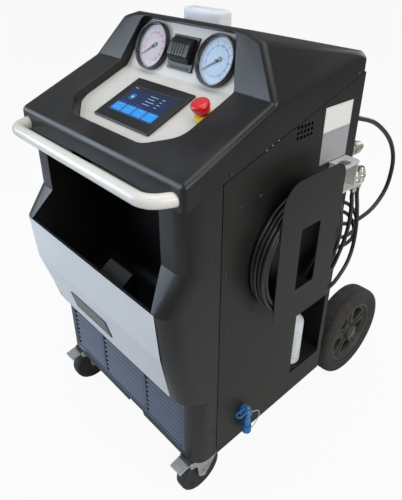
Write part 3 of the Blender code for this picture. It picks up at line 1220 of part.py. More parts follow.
def build_inner():
    floor = TRAY_Z + GAP
    x, y = COMPRESSOR_AT
    dome = [(0.0, 0.205), (0.030, 0.201), (0.055, 0.188), (0.070, 0.165), (0.074, 0.140), (0.074, 0.050),
            (0.066, 0.028), (0.050, 0.018), (0.050, 0.006), (0.088, 0.006), (0.088, 0.0), (0.0, 0.0)]
    turned("compressor", dome, "motor_paint", steps=20, location=(x, y, floor))
    x, y = PUMP_AT
    radius, half = 0.058, 0.085
    pump = block("vacuum_pump", (-0.050, -0.150, 0.0), (0.050, 0.085, 0.012), "motor_paint", 0.002,
                 location=(x, y, floor))
    motor = rod_mesh(radius, (0, -0.020, 0.006 + radius), (0, half, 0.006 + radius), 28)
    head = block_mesh((-0.052, -0.145, 0.004), (0.052, -0.025, 0.125), 0.006)
    neck = rod_mesh(0.030, (0, -0.030, 0.006 + radius), (0, -0.010, 0.006 + radius), 20)
    for name, bm in (("pump_motor", motor), ("pump_head", head), ("pump_neck", neck)):
        boolean(pump, mesh_object(name, bm, location=(x, y, floor)), "UNION")


build_hood()
build_faceplate()
build_screen()
build_gauge("right", 1, "dial_blue")
build_gauge("left", -1, "dial_red")
build_printer()
build_stop()
build_front_shell()
build_bin()
build_front_plate()
build_grille()
build_handle()
build_side_panels()
REAR_PANEL = build_rear_panel()
build_shelf(REAR_PANEL)
build_inlet()
build_base()
build_platform()
for SIDE, SIGN in (("right", 1), ("left", -1)):
    build_wheel(SIDE, SIGN)
    build_caster(SIDE, SIGN)
build_hanger()
build_coil()
build_couplers()
build_holder()
build_hoses()
build_rear_fitting()
build_bottle()
build_drain()
build_module()
build_inner()
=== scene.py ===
import math

import bmesh
import bpy
from mathutils import Matrix, Vector


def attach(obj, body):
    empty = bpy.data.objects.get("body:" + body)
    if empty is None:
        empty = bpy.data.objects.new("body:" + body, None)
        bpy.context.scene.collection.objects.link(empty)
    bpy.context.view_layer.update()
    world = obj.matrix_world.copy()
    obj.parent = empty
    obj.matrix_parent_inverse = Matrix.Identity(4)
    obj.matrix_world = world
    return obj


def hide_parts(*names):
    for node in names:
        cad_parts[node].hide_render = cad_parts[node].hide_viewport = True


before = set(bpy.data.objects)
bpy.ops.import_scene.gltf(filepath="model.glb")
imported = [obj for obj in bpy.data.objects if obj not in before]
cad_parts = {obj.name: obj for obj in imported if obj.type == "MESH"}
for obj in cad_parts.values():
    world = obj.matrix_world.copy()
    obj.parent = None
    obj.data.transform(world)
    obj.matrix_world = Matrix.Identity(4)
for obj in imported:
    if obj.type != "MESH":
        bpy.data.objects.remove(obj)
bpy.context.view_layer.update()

# The station frame: x = 0 on the centre plane, y = 0 on the rear face, z = 0 on the floor
STATION = Vector((-0.02265, 0.121, 0.0))
GAP = 0.0003
HALF_WIDTH = 0.300
FRONT_Y = -0.523
DESK_EDGE = (FRONT_Y, 0.913)
KNEE = (-0.300, 1.009)
RIDGE = (-0.254, 1.118)
DECK_REAR = (0.0, 1.062)
RECESS = 0.021
SCREEN_ALONG = 0.149
GAUGE_ALONG = 0.050
PANEL_BACK_Y = -0.0018
GRILLE_FRONT_Y = -0.4950
BADGE_AT = (-0.047, -0.5428, 0.439)
PLATE_TILT = 103.8
DRAIN_AT = (0.318, -0.340)
DRAIN_Z = 0.228
HANDLE_R = 0.014
HANDLE_Z = 0.881

# Stickers on the right side: rear and front edge; low edge, high edge and pitch of the ruled rows
LABEL_Y = (-0.137, -0.036)
LABEL_ROWS = {"label_white": (0.9125, 0.968, 0.0125), "label_silver": (0.839, 0.9118, 0.0105)}

# Instruments
GAUGE_X = 0.106
GAUGE_R = 0.055
GAUGE_CUP_R = 0.0495
DIAL_R = 0.0496
DIAL_LOW = 0.0020
DIAL_TOP = 0.0030
POINTER_REST = 125.0
SWEEP = 270.0
INK_RAISE = 0.00006
DIVISIONS = 50
INNER_DIVISIONS = 16
PAPER_W = 0.057
PAPER_R = 0.0165
DISPLAY_TOP = 0.0050
STOP_AT = (0.164, 0.028)

# Running gear
WHEEL_OUT = 0.302
WHEEL_W = 0.075
WHEEL_Y = 0.188
WHEEL_R = 0.150
RIM_R = 0.106
AXLE_R = 0.010
CASTER = (0.258, -0.418)
CASTER_R = 0.0625
CASTER_W = 0.032
CASTER_TRAIL = 0.038
TRAY_Z = 0.150

# Hoses
HOSE_R = 0.005
REAR_HOSE_R = 0.006
COIL_CENTRE = (-0.206, 0.662)
COIL_OUTER = 0.1447
COIL_LAYER = 0.0107
COIL_COLUMNS = (0.3072, 0.3175, 0.3279, 0.3382)
COUPLER_HIGH = (0.330, -0.026)
COUPLER_LOW = (0.324, 0.006)
COUPLER_Z = 0.752
PORT_X = 0.262
PORT_Y = 0.0203
HIGH_PORT_Z = 0.640
LOW_PORT_Z = 0.668
RETURN_PORT = (0.240, PORT_Y, 0.900)

# The camera, solved from the photograph's straight edges
FOCAL_PIXELS = 490.94
PHOTO_PIXELS = 500
CAMERA_SHIFT = (-0.0147, -0.0647)
CAMERA_PLACE = (0.82610, -0.86928, 1.27068)
CAMERA_TURN = (60.2193, -0.5829, 46.7294)

# The station frame's place in the shared frame
HOME = Matrix.Translation(STATION)


def slope(corner, other, along):
    """The frame of the sunken face under a slope, with Y up the slope and Z out of it."""
    tilt = math.atan2(other[1] - corner[1], other[0] - corner[0])
    y = corner[0] + math.cos(tilt) * along + math.sin(tilt) * RECESS
    z = corner[1] + math.sin(tilt) * along - math.cos(tilt) * RECESS
    return Matrix.Translation(STATION + Vector((0, y, z))) @ Matrix.Rotation(tilt, 4, "X")


DESK = slope(DESK_EDGE, KNEE, SCREEN_ALONG)
RISE = slope(KNEE, RIDGE, GAUGE_ALONG)


def at(x, y, z):
    """A place in the station frame, for the shared frame."""
    return STATION + Vector((x, y, z))


def standing(x, y, z, turn=0.0, axis="X"):
    return Matrix.Translation(at(x, y, z)) @ Matrix.Rotation(math.radians(turn), 4, axis)


def mm(*points):
    """The corners of a profile, given in millimetres."""
    return [(x / 1000, y / 1000) for x, y in points]


def linked(name, data):
    """A new object of some data, in the scene."""
    made = bpy.data.objects.new(name, data)
    bpy.context.scene.collection.objects.link(made)
    return made


# Camera and light

def set_camera():
    lens = bpy.data.cameras.new("camera")
    lens.sensor_width = 36.0
    lens.lens = FOCAL_PIXELS / PHOTO_PIXELS * lens.sensor_width
    lens.shift_x, lens.shift_y = CAMERA_SHIFT
    camera = linked("camera", lens)
    camera.location = CAMERA_PLACE
    camera.rotation_euler = [math.radians(angle) for angle in CAMERA_TURN]
    bpy.context.scene.camera = camera


def soft_light(name, place, size, power, colour=(1.0, 1.0, 1.0)):
    data = bpy.data.lights.new(name, "AREA")
    data.shape = "DISK"
    data.size = size
    data.energy = power
    data.color = colour
    lamp = linked(name, data)
    lamp.location = place
    lamp.rotation_euler = (Vector((0, 0, 0.6)) - Vector(place)).to_track_quat("-Z", "Y").to_euler()


class Term:
    """A socket of a finish, with Python's operators on it."""

    def __init__(self, finish, socket):
        self.finish = finish
        self.socket = socket

    def maths(self, operation, *values):
        return self.finish.node("ShaderNodeMath", {"operation": operation}, dict(enumerate(values)))

    def __add__(self, other):
        return self.maths("ADD", self, other)

    def __sub__(self, other):
        return self.maths("SUBTRACT", self, other)

    def __rsub__(self, other):
        return self.maths("SUBTRACT", other, self)

    def __mul__(self, other):
        return self.maths("MULTIPLY", self, other)

    def __truediv__(self, other):
        return self.maths("DIVIDE", self, other)

    def __pow__(self, other):
        return self.maths("POWER", self, other)

    def __abs__(self):
        return self.maths("ABSOLUTE", self)

    def over(self, limit):
        return self.maths("GREATER_THAN", self, limit)

    def under(self, limit):
        return self.maths("LESS_THAN", self, limit)

    def least(self, other):
        return self.maths("MINIMUM", self, other)

    def most(self, other):
        return self.maths("MAXIMUM", self, other)

    def repeated(self, pitch):
        return self.maths("PINGPONG", self, pitch / 2)

    def between(self, low, high, to_low=0.0, to_high=1.0):
        return self.finish.node("ShaderNodeMapRange", {}, {0: self, 1: low, 2: high, 3: to_low, 4: to_high})


# Every finish by its name
FINISHES = {}


class Finish:
    """A material built from its own nodes, on Object coordinates."""

    def __init__(self, name):
        self.material = bpy.data.materials.new(name)
        self.material.use_nodes = True
        self.tree = self.material.node_tree
        self.shader = self.tree.nodes["Principled BSDF"]
        self.place = self.node("ShaderNodeTexCoord", out="Object")
        FINISHES[name] = self

    def node(self, kind, settings=None, sockets=None, out=0):
        made = self.tree.nodes.new(kind)
        for key, value in (settings or {}).items():
            if key == "stops":
                self.set_stops(made.color_ramp.elements, value)
            else:
                setattr(made, key, value)
        for key, value in (sockets or {}).items():
            self.feed(made.inputs[key], value)
        return Term(self, made.outputs[out])

    def set_stops(self, elements, stops):
        for element, (position, shade) in ((elements[0], stops[0]), (elements[1], stops[-1])):
            element.position = position
            element.color = (*shade, 1.0)
        for position, shade in stops[1:-1]:
            elements.new(position).color = (*shade, 1.0)

    def feed(self, socket, value):
        if isinstance(value, Term):
            self.tree.links.new(value.socket, socket)
        elif socket.type == "RGBA":
            socket.default_value = (*value[:3], 1.0)
        else:
            socket.default_value = value

    def cloud(self, scale, detail=3.0, place=None):
        """Soft noise, from 0 to 1."""
        sockets = {"Vector": place or self.place, "Scale": scale, "Detail": detail}
        return self.node("ShaderNodeTexNoise", {}, sockets)

    def cells(self, scale):
        """Rounded grains, by the distance from the middle of each."""
        return self.node("ShaderNodeTexVoronoi", {}, {"Vector": self.place, "Scale": scale}, out="Distance")

    def drawn(self, scale):
        """Coordinates stretched along an axis, for brushed and streaked surfaces."""
        return self.node("ShaderNodeMapping", {}, {"Vector": self.place, "Scale": scale})

    def measured(self, operation, first, second):
        """A vector operation that gives one number."""
        settings = {"operation": operation}
        return self.node("ShaderNodeVectorMath", settings, {0: first, 1: second}, out="Value")

    def along(self, direction, origin=(0.0, 0.0, 0.0)):
        """Distance of a point along a direction from an origin."""
        direction = Vector(direction)
        reach = self.measured("DOT_PRODUCT", self.place, tuple(direction))
        return reach - direction.dot(Vector(origin))

    def away(self, centre):
        return self.measured("DISTANCE", self.place, tuple(centre))

    def facing_up(self):
        normal = self.node("ShaderNodeNewGeometry", out="Normal")
        return self.measured("DOT_PRODUCT", normal, (0.0, 0.0, 1.0)).between(0.2, 0.95)

    def edges(self, radius):
        """1 on edges that hands and tools rub, 0 on flat faces."""
        normal = self.node("ShaderNodeNewGeometry", out="Normal")
        worn = self.node("ShaderNodeBevel", {"samples": 4}, {"Radius": radius})
        return (1 - self.measured("DOT_PRODUCT", normal, worn)).between(0.02, 0.16)

    def mixed(self, share, first, second):
        return self.node("ShaderNodeMix", {"data_type": "RGBA"}, {0: share, 6: first, 7: second}, out=2)

    def mottled(self, noise, first, second):
        """Two shades, mixed by the middle of a noise's range."""
        return self.mixed(noise.between(0.3, 0.7), first, second)

    def ramp(self, value, stops):
        return self.node("ShaderNodeValToRGB", {"stops": stops}, {0: value})

    def raised(self, height, strength, depth):
        bump = self.node("ShaderNodeBump", {}, {"Height": height, "Strength": strength, "Distance": depth})
        self.feed(self.shader.inputs["Normal"], bump)

    def surface(self, **sockets):
        for key, value in sockets.items():
            self.feed(self.shader.inputs[key.replace("_", " ")], value)
        return self

    def shown_as(self, surface):
        """Another surface at the material's output than the plain shader."""
        self.feed(self.tree.nodes["Material Output"].inputs["Surface"], surface)
        return self


def moulding(name, colour, dusty, roughness, grain=1000.0, coat=0.0, sheen=0.5):
    """Moulded plastic: a fine leathery grain, handling marks, and dust where it faces up."""
    made = Finish(name)
    marks = made.cloud(7.0, 5.0)
    fine = made.cloud(160.0, 2.0)
    dust = made.facing_up() * marks.between(0.45, 0.75) * 0.55
    rubbed = made.edges(0.0015) * made.cloud(60.0).between(0.35, 0.7) * 0.35
    shade = made.mottled(marks, colour, [c * 1.22 for c in colour])
    shade = made.mixed(dust.most(rubbed), shade, dusty)
    rough = marks.between(0.3, 0.7, roughness - 0.05, roughness + 0.06) + fine * 0.05 + dust * 0.15
    made.raised(made.cells(grain) + made.cloud(grain * 2.2, 2.0) * 0.6, 0.22, 0.00012)
    return made.surface(Base_Color=shade, Roughness=rough, Coat_Weight=coat, Coat_Roughness=0.2,
                        Specular_IOR_Level=sheen)


def sheet_paint(name, colour, worn, roughness, peel=700.0, sheen=0.5):
    """Powder coat on sheet steel: orange peel, faint vertical wiping marks, chipped edges."""
    made = Finish(name)
    broad = made.cloud(3.5, 4.0)
    wiped = made.cloud(14.0, 4.0, made.drawn((9.0, 9.0, 0.8)))
    chips = made.edges(0.0012) * made.cloud(240.0, 3.0).between(0.52, 0.6)
    spatter = made.cloud(26.0, 5.0).between(0.42, 0.7)
    low = made.along((0, 0, 1)).between(0.12, 0.42, 1.0, 0.0) * spatter * 0.30
    shade = made.mottled(broad, colour, [c * 1.30 for c in colour])
    shade = made.mixed(low, shade, (0.060, 0.054, 0.046))
    shade = made.mixed(chips * 0.6, shade, worn)
    rough = wiped.between(0.3, 0.7, roughness - 0.025, roughness + 0.03) + low * 0.3
    made.raised(made.cloud(peel, 1.0) + made.cells(peel * 1.6) * 0.5, 0.20, 0.00015)
    return made.surface(Base_Color=shade, Roughness=rough, Specular_IOR_Level=sheen)


def metal(name, colour, dull, roughness, spangle=160.0):
    """Plated metal: cloudy plating with fine crystals and a finer grain."""
    made = Finish(name)
    clouds = made.cloud(45.0, 5.0)
    crystals = made.cells(spangle)
    grain = made.cloud(700.0, 2.0)
    shade = made.mixed(clouds.between(0.35, 0.7), colour, dull)
    shade = made.mixed(crystals.between(0.1, 0.9) * 0.18, shade, [c * 1.25 for c in colour])
    rough = clouds.between(0.3, 0.7, roughness - 0.05, roughness + 0.12) + grain * 0.06
    made.raised(grain + clouds * 0.4, 0.10, 0.0001)
    return made.surface(Base_Color=shade, Roughness=rough, Metallic=clouds.between(0.2, 0.9, 0.96, 0.80))


def rubber(name, colour, dusty, roughness, fine=900.0):
    """Rubber: matt, with mould texture, paler dust in the grain and scuffs where it rolls."""
    made = Finish(name)
    scuffs = made.cloud(55.0, 6.0)
    dust = scuffs.between(0.42, 0.72) * 0.50
    shade = made.mixed(dust, colour, dusty)
    rough = scuffs.between(0.3, 0.7, roughness - 0.05, roughness + 0.12)
    made.raised(made.cloud(fine, 4.0) + made.cells(fine * 0.6) * 0.4, 0.30, 0.0002)
    return made.surface(Base_Color=shade, Roughness=rough)


def dial_face(name, side, tint, zone):
    """Printed dial: white at the rim, tinted inside, with a coloured band under the scale."""
    made = Finish(name)
    centre = RISE @ Vector((side * GAUGE_X, 0, DIAL_TOP))
    ring = made.away(centre) / DIAL_R
    band = ring.over(0.62) * ring.under(0.67)
    pale = [0.25 + 0.7 * c for c in tint]
    shade = made.ramp(ring, [(0.0, tint), (0.60, tint), (0.85, pale), (1.0, pale)])
    shade = made.mixed(band * 0.55, shade, zone)
    ink = made.cloud(900.0, 3.0)
    made.raised(ink, 0.05, 0.00005)
    return made.surface(Base_Color=shade, Roughness=ink.between(0.2, 0.8, 0.42, 0.55))


def display_face():
    """The lit display: deep blue, brighter towards its lower rows, with a dark bar along the top."""
    made = Finish("screen_face")
    origin = DESK @ Vector((0, 0, 0))
    up = made.along(DESK.to_3x3() @ Vector((0, 1, 0)), origin)
    across = made.along(DESK.to_3x3() @ Vector((1, 0, 0)), origin)
    glow = made.cloud(22.0, 2.0)
    level = up.between(-0.044, 0.044) + glow.between(0.3, 0.7, -0.08, 0.08)
    shade = made.ramp(level, [(0.0, (0.010, 0.075, 0.270)), (0.30, (0.008, 0.045, 0.190)),
                              (0.42, (0.004, 0.016, 0.085)), (0.85, (0.005, 0.016, 0.070)),
                              (1.0, (0.004, 0.007, 0.022))])
    edge = abs(across).between(0.060, 0.078, 0.0, 0.45)
    shade = made.mixed(edge, shade, (0.004, 0.010, 0.035))
    pixels = up.repeated(0.0008) / 0.0004 * 0.04 + across.repeated(0.0008) / 0.0004 * 0.04
    smears = made.cloud(40.0, 5.0).between(0.4, 0.8)
    return made.surface(Base_Color=(0.004, 0.006, 0.012), Emission_Color=shade, Emission_Strength=0.95,
                        Roughness=smears.between(0.0, 1.0, 0.10, 0.26) + pixels)


def lit(name, colour, strength):
    """A lit mark of the display, a little uneven over its area."""
    made = Finish(name)
    uneven = made.cloud(120.0, 2.0)
    shade = made.mottled(uneven, colour, [c * 0.86 for c in colour])
    return made.surface(Base_Color=shade, Emission_Color=shade, Emission_Strength=strength,
                        Roughness=uneven.between(0.2, 0.8, 0.20, 0.32))


def printed_label(name, ground, ink, roughness, metallic):
    """A blank sticker with a thin border and plain ruled rows."""
    made = Finish(name)
    bottom, top, pitch = LABEL_ROWS[name]
    low, high = at(HALF_WIDTH, LABEL_Y[0], bottom), at(HALF_WIDTH, LABEL_Y[1], top)
    y, z = made.along((0, 1, 0)), made.along((0, 0, 1))
    side = (y - low.y).least(high.y - y).least(z - low.z).least(high.z - z)
    border = side.over(0.0018) * side.under(0.0024)
    ruled = (z - low.z).repeated(pitch).under(0.00022) * side.over(0.004)
    paper = made.cloud(300.0, 4.0)
    shade = made.mottled(paper, ground, [c * 0.93 for c in ground])
    shade = made.mixed((border + ruled * 0.5).least(1.0) * 0.5, shade, ink)
    made.raised(paper, 0.06, 0.00005)
    return made.surface(Base_Color=shade, Roughness=paper.between(0.3, 0.7, roughness, roughness + 0.1),
                        Metallic=metallic)


def clear(name, tint, roughness):
    """Clear sheet: see-through straight on, mirror-like at a glance, with faint smears."""
    made = Finish(name)
    smears = made.cloud(60.0, 5.0).between(0.4, 0.8, roughness, roughness + 0.05)
    facing = made.node("ShaderNodeLayerWeight", {}, {"Blend": 0.5}, out="Facing")
    glance = facing ** 6 * 0.4 + 0.003
    through = made.node("ShaderNodeBsdfTransparent", {}, {"Color": tint})
    gloss = made.node("ShaderNodeBsdfAnisotropic", {}, {"Color": (1.0, 1.0, 1.0), "Roughness": smears})
    both = made.node("ShaderNodeMixShader", {}, {0: glance, 1: through, 2: gloss})
    made.tree.nodes.remove(made.shader)
    return made.shown_as(both)


def milky():
    """Blow-moulded polyethylene: lets light in, cloudy, with a soft sheen."""
    made = Finish("milky_plastic")
    clouds = made.cloud(38.0, 4.0)
    shade = made.mottled(clouds, (0.66, 0.70, 0.74), (0.78, 0.81, 0.84))
    made.raised(made.cloud(220.0, 3.0), 0.12, 0.0002)
    return made.surface(Base_Color=shade, Roughness=clouds.between(0.3, 0.7, 0.28, 0.40),
                        Subsurface_Weight=0.35, Subsurface_Radius=(0.01, 0.01, 0.01))


def slatted(name):
    """The grille's blades: mottled blue-grey, with painted shade darkening each towards its inner edge, where
    the blades overlap.
    """
    made = Finish(name)
    depth = made.along((0, 1, 0), at(0, GRILLE_FRONT_Y, 0))
    patchy = made.cloud(24.0, 5.0)
    painted_shade_inward = depth.between(0.0042, 0.0072)
    shade = made.mottled(patchy, (0.080, 0.095, 0.150), (0.120, 0.140, 0.210))
    # Painted shade: each blade goes near black towards its inner edge, where the blade in front shades it.
    shade = made.mixed(painted_shade_inward, shade, (0.004, 0.004, 0.005))
    made.raised(made.cells(1300.0), 0.15, 0.0001)
    return made.surface(Base_Color=shade, Roughness=patchy.between(0.3, 0.7, 0.40, 0.52) + painted_shade_inward * 0.3,
                        Specular_IOR_Level=0.4)


def fascia():
    """The instrument panel's film: warm pale grey, finely pebbled, slightly soiled in patches."""
    made = Finish("fascia_grey")
    broad = made.cloud(9.0, 4.0)
    grime = made.cloud(46.0, 5.0).between(0.50, 0.80) * 0.10
    shade = made.mottled(broad, (0.64, 0.62, 0.575), (0.70, 0.685, 0.65))
    shade = made.mixed(grime, shade, (0.36, 0.34, 0.31))
    made.raised(made.cells(1400.0) + made.cloud(2600.0, 2.0) * 0.5, 0.16, 0.0001)
    return made.surface(Base_Color=shade, Roughness=broad.between(0.3, 0.7, 0.36, 0.48))


def silver_face():
    """Painted aluminium of the front plate: fine metal flake and soft vertical brushing."""
    made = Finish("silver_sheet")
    broad = made.cloud(4.0, 4.0)
    brushed = made.cloud(900.0, 3.0, made.drawn((1.0, 1.0, 0.03)))
    flake = made.cells(2200.0)
    shade = made.mottled(broad, (0.66, 0.675, 0.70), (0.72, 0.735, 0.76))
    shade = made.mixed(flake.between(0.0, 0.6) * 0.12, shade, (0.80, 0.81, 0.83))
    made.raised(brushed, 0.08, 0.00006)
    return made.surface(Base_Color=shade, Roughness=brushed.between(0.2, 0.8, 0.36, 0.48), Metallic=0.25)


def make_finishes():
    moulding("black_moulding", (0.0075, 0.0076, 0.0080), (0.045, 0.045, 0.048), 0.31, sheen=0.42)
    moulding("bin_black", (0.0080, 0.0080, 0.0088), (0.040, 0.040, 0.046), 0.42)
    slatted("grille_black")
    moulding("gauge_black", (0.0060, 0.0060, 0.0065), (0.030, 0.030, 0.032), 0.24, 1800.0, 0.4)
    sheet_paint("black_paint", (0.0120, 0.0112, 0.0098), (0.10, 0.10, 0.10), 0.44, sheen=0.32)
    sheet_paint("handle_paint", (0.66, 0.645, 0.60), (0.42, 0.41, 0.39), 0.20, 500.0)
    sheet_paint("badge_grey", (0.085, 0.085, 0.088), (0.30, 0.30, 0.30), 0.36, 420.0)
    sheet_paint("bracket_grey", (0.46, 0.46, 0.45), (0.62, 0.62, 0.62), 0.38, 600.0)
    sheet_paint("motor_paint", (0.060, 0.075, 0.110), (0.30, 0.30, 0.30), 0.42, 350.0)
    fascia()
    silver_face()
    metal("zinc", (0.62, 0.63, 0.64), (0.42, 0.42, 0.41), 0.30)
    metal("nickel", (0.66, 0.62, 0.56), (0.42, 0.38, 0.33), 0.24, 400.0)
    rubber("tyre_rubber", (0.022, 0.020, 0.018), (0.075, 0.068, 0.058), 0.70)
    rubber("hub_grey", (0.036, 0.033, 0.030), (0.095, 0.086, 0.074), 0.55, 1300.0)
    rubber("hose_black", (0.010, 0.010, 0.0105), (0.032, 0.031, 0.030), 0.34, 1600.0)
    dial_face("dial_red", -1, (0.60, 0.50, 0.56), (0.50, 0.16, 0.20))
    dial_face("dial_blue", 1, (0.50, 0.62, 0.80), (0.12, 0.28, 0.62))
    clear("clear_glass", (0.97, 0.98, 0.98), 0.02)
    display_face()
    lit("tile_blue", (0.018, 0.190, 0.500), 0.80)
    lit("mark_white", (0.30, 0.42, 0.58), 0.70)
    moulding("stop_red", (0.56, 0.006, 0.012), (0.66, 0.10, 0.10), 0.26, 2200.0, 0.3)
    moulding("stop_yellow", (0.78, 0.56, 0.02), (0.80, 0.66, 0.20), 0.40)
    moulding("valve_blue", (0.012, 0.135, 0.36), (0.08, 0.24, 0.48), 0.32, 1500.0, 0.2)
    moulding("white_plastic", (0.74, 0.75, 0.78), (0.82, 0.81, 0.78), 0.38)
    moulding("dial_ink", (0.030, 0.030, 0.040), (0.06, 0.06, 0.07), 0.50)
    moulding("red_ink", (0.42, 0.05, 0.07), (0.48, 0.12, 0.12), 0.50)
    moulding("blue_ink", (0.05, 0.12, 0.42), (0.12, 0.18, 0.46), 0.50)
    rubber("tether", (0.52, 0.47, 0.38), (0.64, 0.60, 0.52), 0.50, 900.0)
    rubber("paper", (0.78, 0.77, 0.73), (0.84, 0.83, 0.80), 0.75, 2000.0)
    milky()
    printed_label("label_white", (0.82, 0.82, 0.80), (0.10, 0.10, 0.10), 0.38, 0.0)
    printed_label("label_silver", (0.46, 0.47, 0.49), (0.12, 0.12, 0.13), 0.30, 0.35)


# Modelling

def alone(obj=None):
    """Leave nothing selected but the object."""
    if bpy.context.mode != "OBJECT":
        bpy.ops.object.mode_set(mode="OBJECT")
    bpy.ops.object.select_all(action="DESELECT")
    if obj:
        obj.select_set(True)
        bpy.context.view_layer.objects.active = obj
    return obj


def named(name):
    made = bpy.context.object
    made.name = name
    made.data.name = name
    return made


def pick(obj, kind, test):
    """In edit mode, select the corners, edges or faces that pass a test."""
    bpy.ops.mesh.select_mode(type=kind)
    bpy.ops.mesh.select_all(action="DESELECT")
    bm = bmesh.from_edit_mesh(obj.data)
    items = {"VERT": bm.verts, "EDGE": bm.edges, "FACE": bm.faces}[kind]
    for item in items:
        if test(item):
            item.select_set(True)
    bm.select_flush_mode()
    bmesh.update_edit_mesh(obj.data)


def edit(obj):
    alone(obj)
    bpy.ops.object.mode_set(mode="EDIT")
    bpy.ops.mesh.select_mode(type="VERT")
    bpy.ops.mesh.select_all(action="SELECT")


def placed(obj, matrix):
    """Put a finished shape in its place, and that place in its mesh."""
    alone(obj)
    obj.matrix_world = matrix
    bpy.ops.object.transform_apply(location=True, rotation=True, scale=True)
    return obj


def applied(obj, kind, **settings):
    alone(obj)
    step = obj.modifiers.new(kind.lower(), kind)
    for key, value in settings.items():
        setattr(step, key, value)
    bpy.ops.object.modifier_apply(modifier=step.name)
    return obj


def eased(obj, width, segments=2, angle=30.0):
    """Round the sharp edges over, keep the flats flat and shade the rest smooth."""
    applied(obj, "BEVEL", width=width, segments=segments, limit_method="ANGLE",
            angle_limit=math.radians(angle), use_clamp_overlap=False)
    smoothed(obj, 38.0)
    return applied(obj, "WEIGHTED_NORMAL", weight=80, keep_sharp=True)


def smoothed(obj, angle=35.0):
    alone(obj)
    bpy.ops.object.shade_smooth_by_angle(angle=math.radians(angle))
    return obj


def cut(obj, tool):
    """Take a tool's shape out of an object, and remove the tool."""
    applied(obj, "BOOLEAN", operation="DIFFERENCE", solver="EXACT", object=tool)
    bpy.data.objects.remove(tool)
    return obj


def block(name, low, high, rounding=0.0, steps=3):
    alone()
    size = [b - a for a, b in zip(low, high)]
    middle = [(a + b) / 2 for a, b in zip(low, high)]
    bpy.ops.mesh.primitive_cube_add(size=1.0, location=middle, scale=size)
    made = named(name)
    bpy.ops.object.transform_apply(location=True, rotation=True, scale=True)
    if rounding:
        edit(made)
        bpy.ops.mesh.bevel(offset=rounding, segments=steps, affect="EDGES")
        smoothed(made)
    return made


def chain(name, points, close=False):
    """A line of corners, laid one after the other by extruding the last."""
    alone()
    bpy.ops.mesh.primitive_plane_add(size=0.01)
    made = named(name)
    edit(made)
    bpy.ops.mesh.merge(type="CENTER")
    bpy.ops.transform.translate(value=Vector(points[0]))
    for here, there in zip(points, points[1:]):
        step = Vector(there) - Vector(here)
        bpy.ops.mesh.extrude_region_move(TRANSFORM_OT_translate={"value": step})
    if close:
        pick(made, "VERT", lambda v: len(v.link_edges) == 1)
        bpy.ops.mesh.edge_face_add()
    bpy.ops.mesh.select_all(action="SELECT")
    return made


def turned(name, profile, steps=64, closed=False, sharp=35.0):
    """A profile of (radius, height) spun about Z."""
    made = chain(name, [(radius, 0.0, height) for radius, height in profile], closed)
    bpy.ops.mesh.spin(steps=steps, angle=2 * math.pi, center=(0, 0, 0), axis=(0, 0, 1))
    bpy.ops.mesh.select_all(action="SELECT")
    bpy.ops.mesh.remove_doubles(threshold=0.000002)
    bpy.ops.mesh.normals_make_consistent(inside=False)
    return smoothed(made, sharp)


def fillet(points, radius, steps=5):
    """A closed outline with rounded corners; radius is one value or one per corner."""
    radii = radius if isinstance(radius, (list, tuple)) else [radius] * len(points)
    outline = []
    for i, corner in enumerate(points):
        here = Vector(corner)
        before, after = Vector(points[i - 1]) - here, Vector(points[(i + 1) % len(points)]) - here
        half = before.angle(after) / 2
        if radii[i] <= 0:
            outline.append(tuple(here))
            continue
        reach = min(radii[i] / math.tan(half), before.length * 0.49, after.length * 0.49)
        arc = reach * math.tan(half)
        centre = here + (before.normalized() + after.normalized()).normalized() * (arc / math.sin(half))
        first = here + before.normalized() * reach - centre
        last = here + after.normalized() * reach - centre
        sweep = first.angle_signed(last)
        for k in range(steps + 1):
            outline.append(tuple(centre + Matrix.Rotation(-sweep * k / steps, 2) @ first))
    return outline


def cut_out(name, outline, low, high):
    """A flat outline in XY, filled and extruded from one height to another."""
    made = chain(name, [(x, y, low) for x, y in outline], close=True)
    bpy.ops.mesh.edge_face_add()
    bpy.ops.mesh.extrude_region_move(TRANSFORM_OT_translate={"value": (0, 0, high - low)})
    bpy.ops.mesh.select_all(action="SELECT")
    bpy.ops.mesh.normals_make_consistent(inside=False)
    alone(made)
    return made


def copied(obj, name, matrix):
    """Another of the same, with its own mesh."""
    alone(obj)
    bpy.ops.object.duplicate()
    made = named(name)
    return placed(made, matrix)


def joined(name, parts):
    alone(parts[0])
    for part in parts:
        part.select_set(True)
    bpy.ops.object.join()
    return named(name)


def around(obj, name, count):
    """Copies of a shape turned evenly about Z, joined into one."""
    parts = [copied(obj, "part", Matrix.Rotation(2 * math.pi * k / count, 4, "Z")) for k in range(1, count)]
    return joined(name, [obj, *parts])


def knurled(obj, low, high, steps, depth):
    """Raise every other facet of a round band between two heights."""
    edit(obj)

    def on_band(face):
        middle = face.calc_center_median()
        index = round(math.degrees(math.atan2(middle.y, middle.x)) / 360 * steps - 0.5)
        upright = abs(face.normal.z) < 0.2
        return upright and low < middle.z < high and index % 2 == 0

    pick(obj, "FACE", on_band)
    bpy.ops.mesh.extrude_region_shrink_fatten(TRANSFORM_OT_shrink_fatten={"value": depth})
    return smoothed(obj)


def dress(obj, finish, *nodes, body="cabinet", slot=None):
    """Give a piece its finish and body. One that stands for CAD nodes has the finish's name as its slot."""
    if obj.type == "MESH":
        obj.data.materials.clear()
    obj.data.materials.append(FINISHES[finish].material)
    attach(obj, body)
    if nodes:
        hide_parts(*nodes)
    alone()
    return obj


def welded_copy(node):
    """A CAD node's mesh as an object of its own, with its corners merged."""
    made = alone(linked(node + "_form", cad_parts[node].data.copy()))
    bpy.ops.mesh.customdata_custom_splitnormals_clear()
    edit(made)
    bpy.ops.mesh.remove_doubles(threshold=0.00001)
    return alone(made)


def eased_copy(node, width, segments=2):
    """A welded copy of a CAD node with its edges rounded."""
    return eased(welded_copy(node), width, segments)


def dress_copy(node, width, finish, segments=2, **where):
    """Show a CAD node by its own form, with rounded edges."""
    return dress(eased_copy(node, width, segments), finish, node, **where)


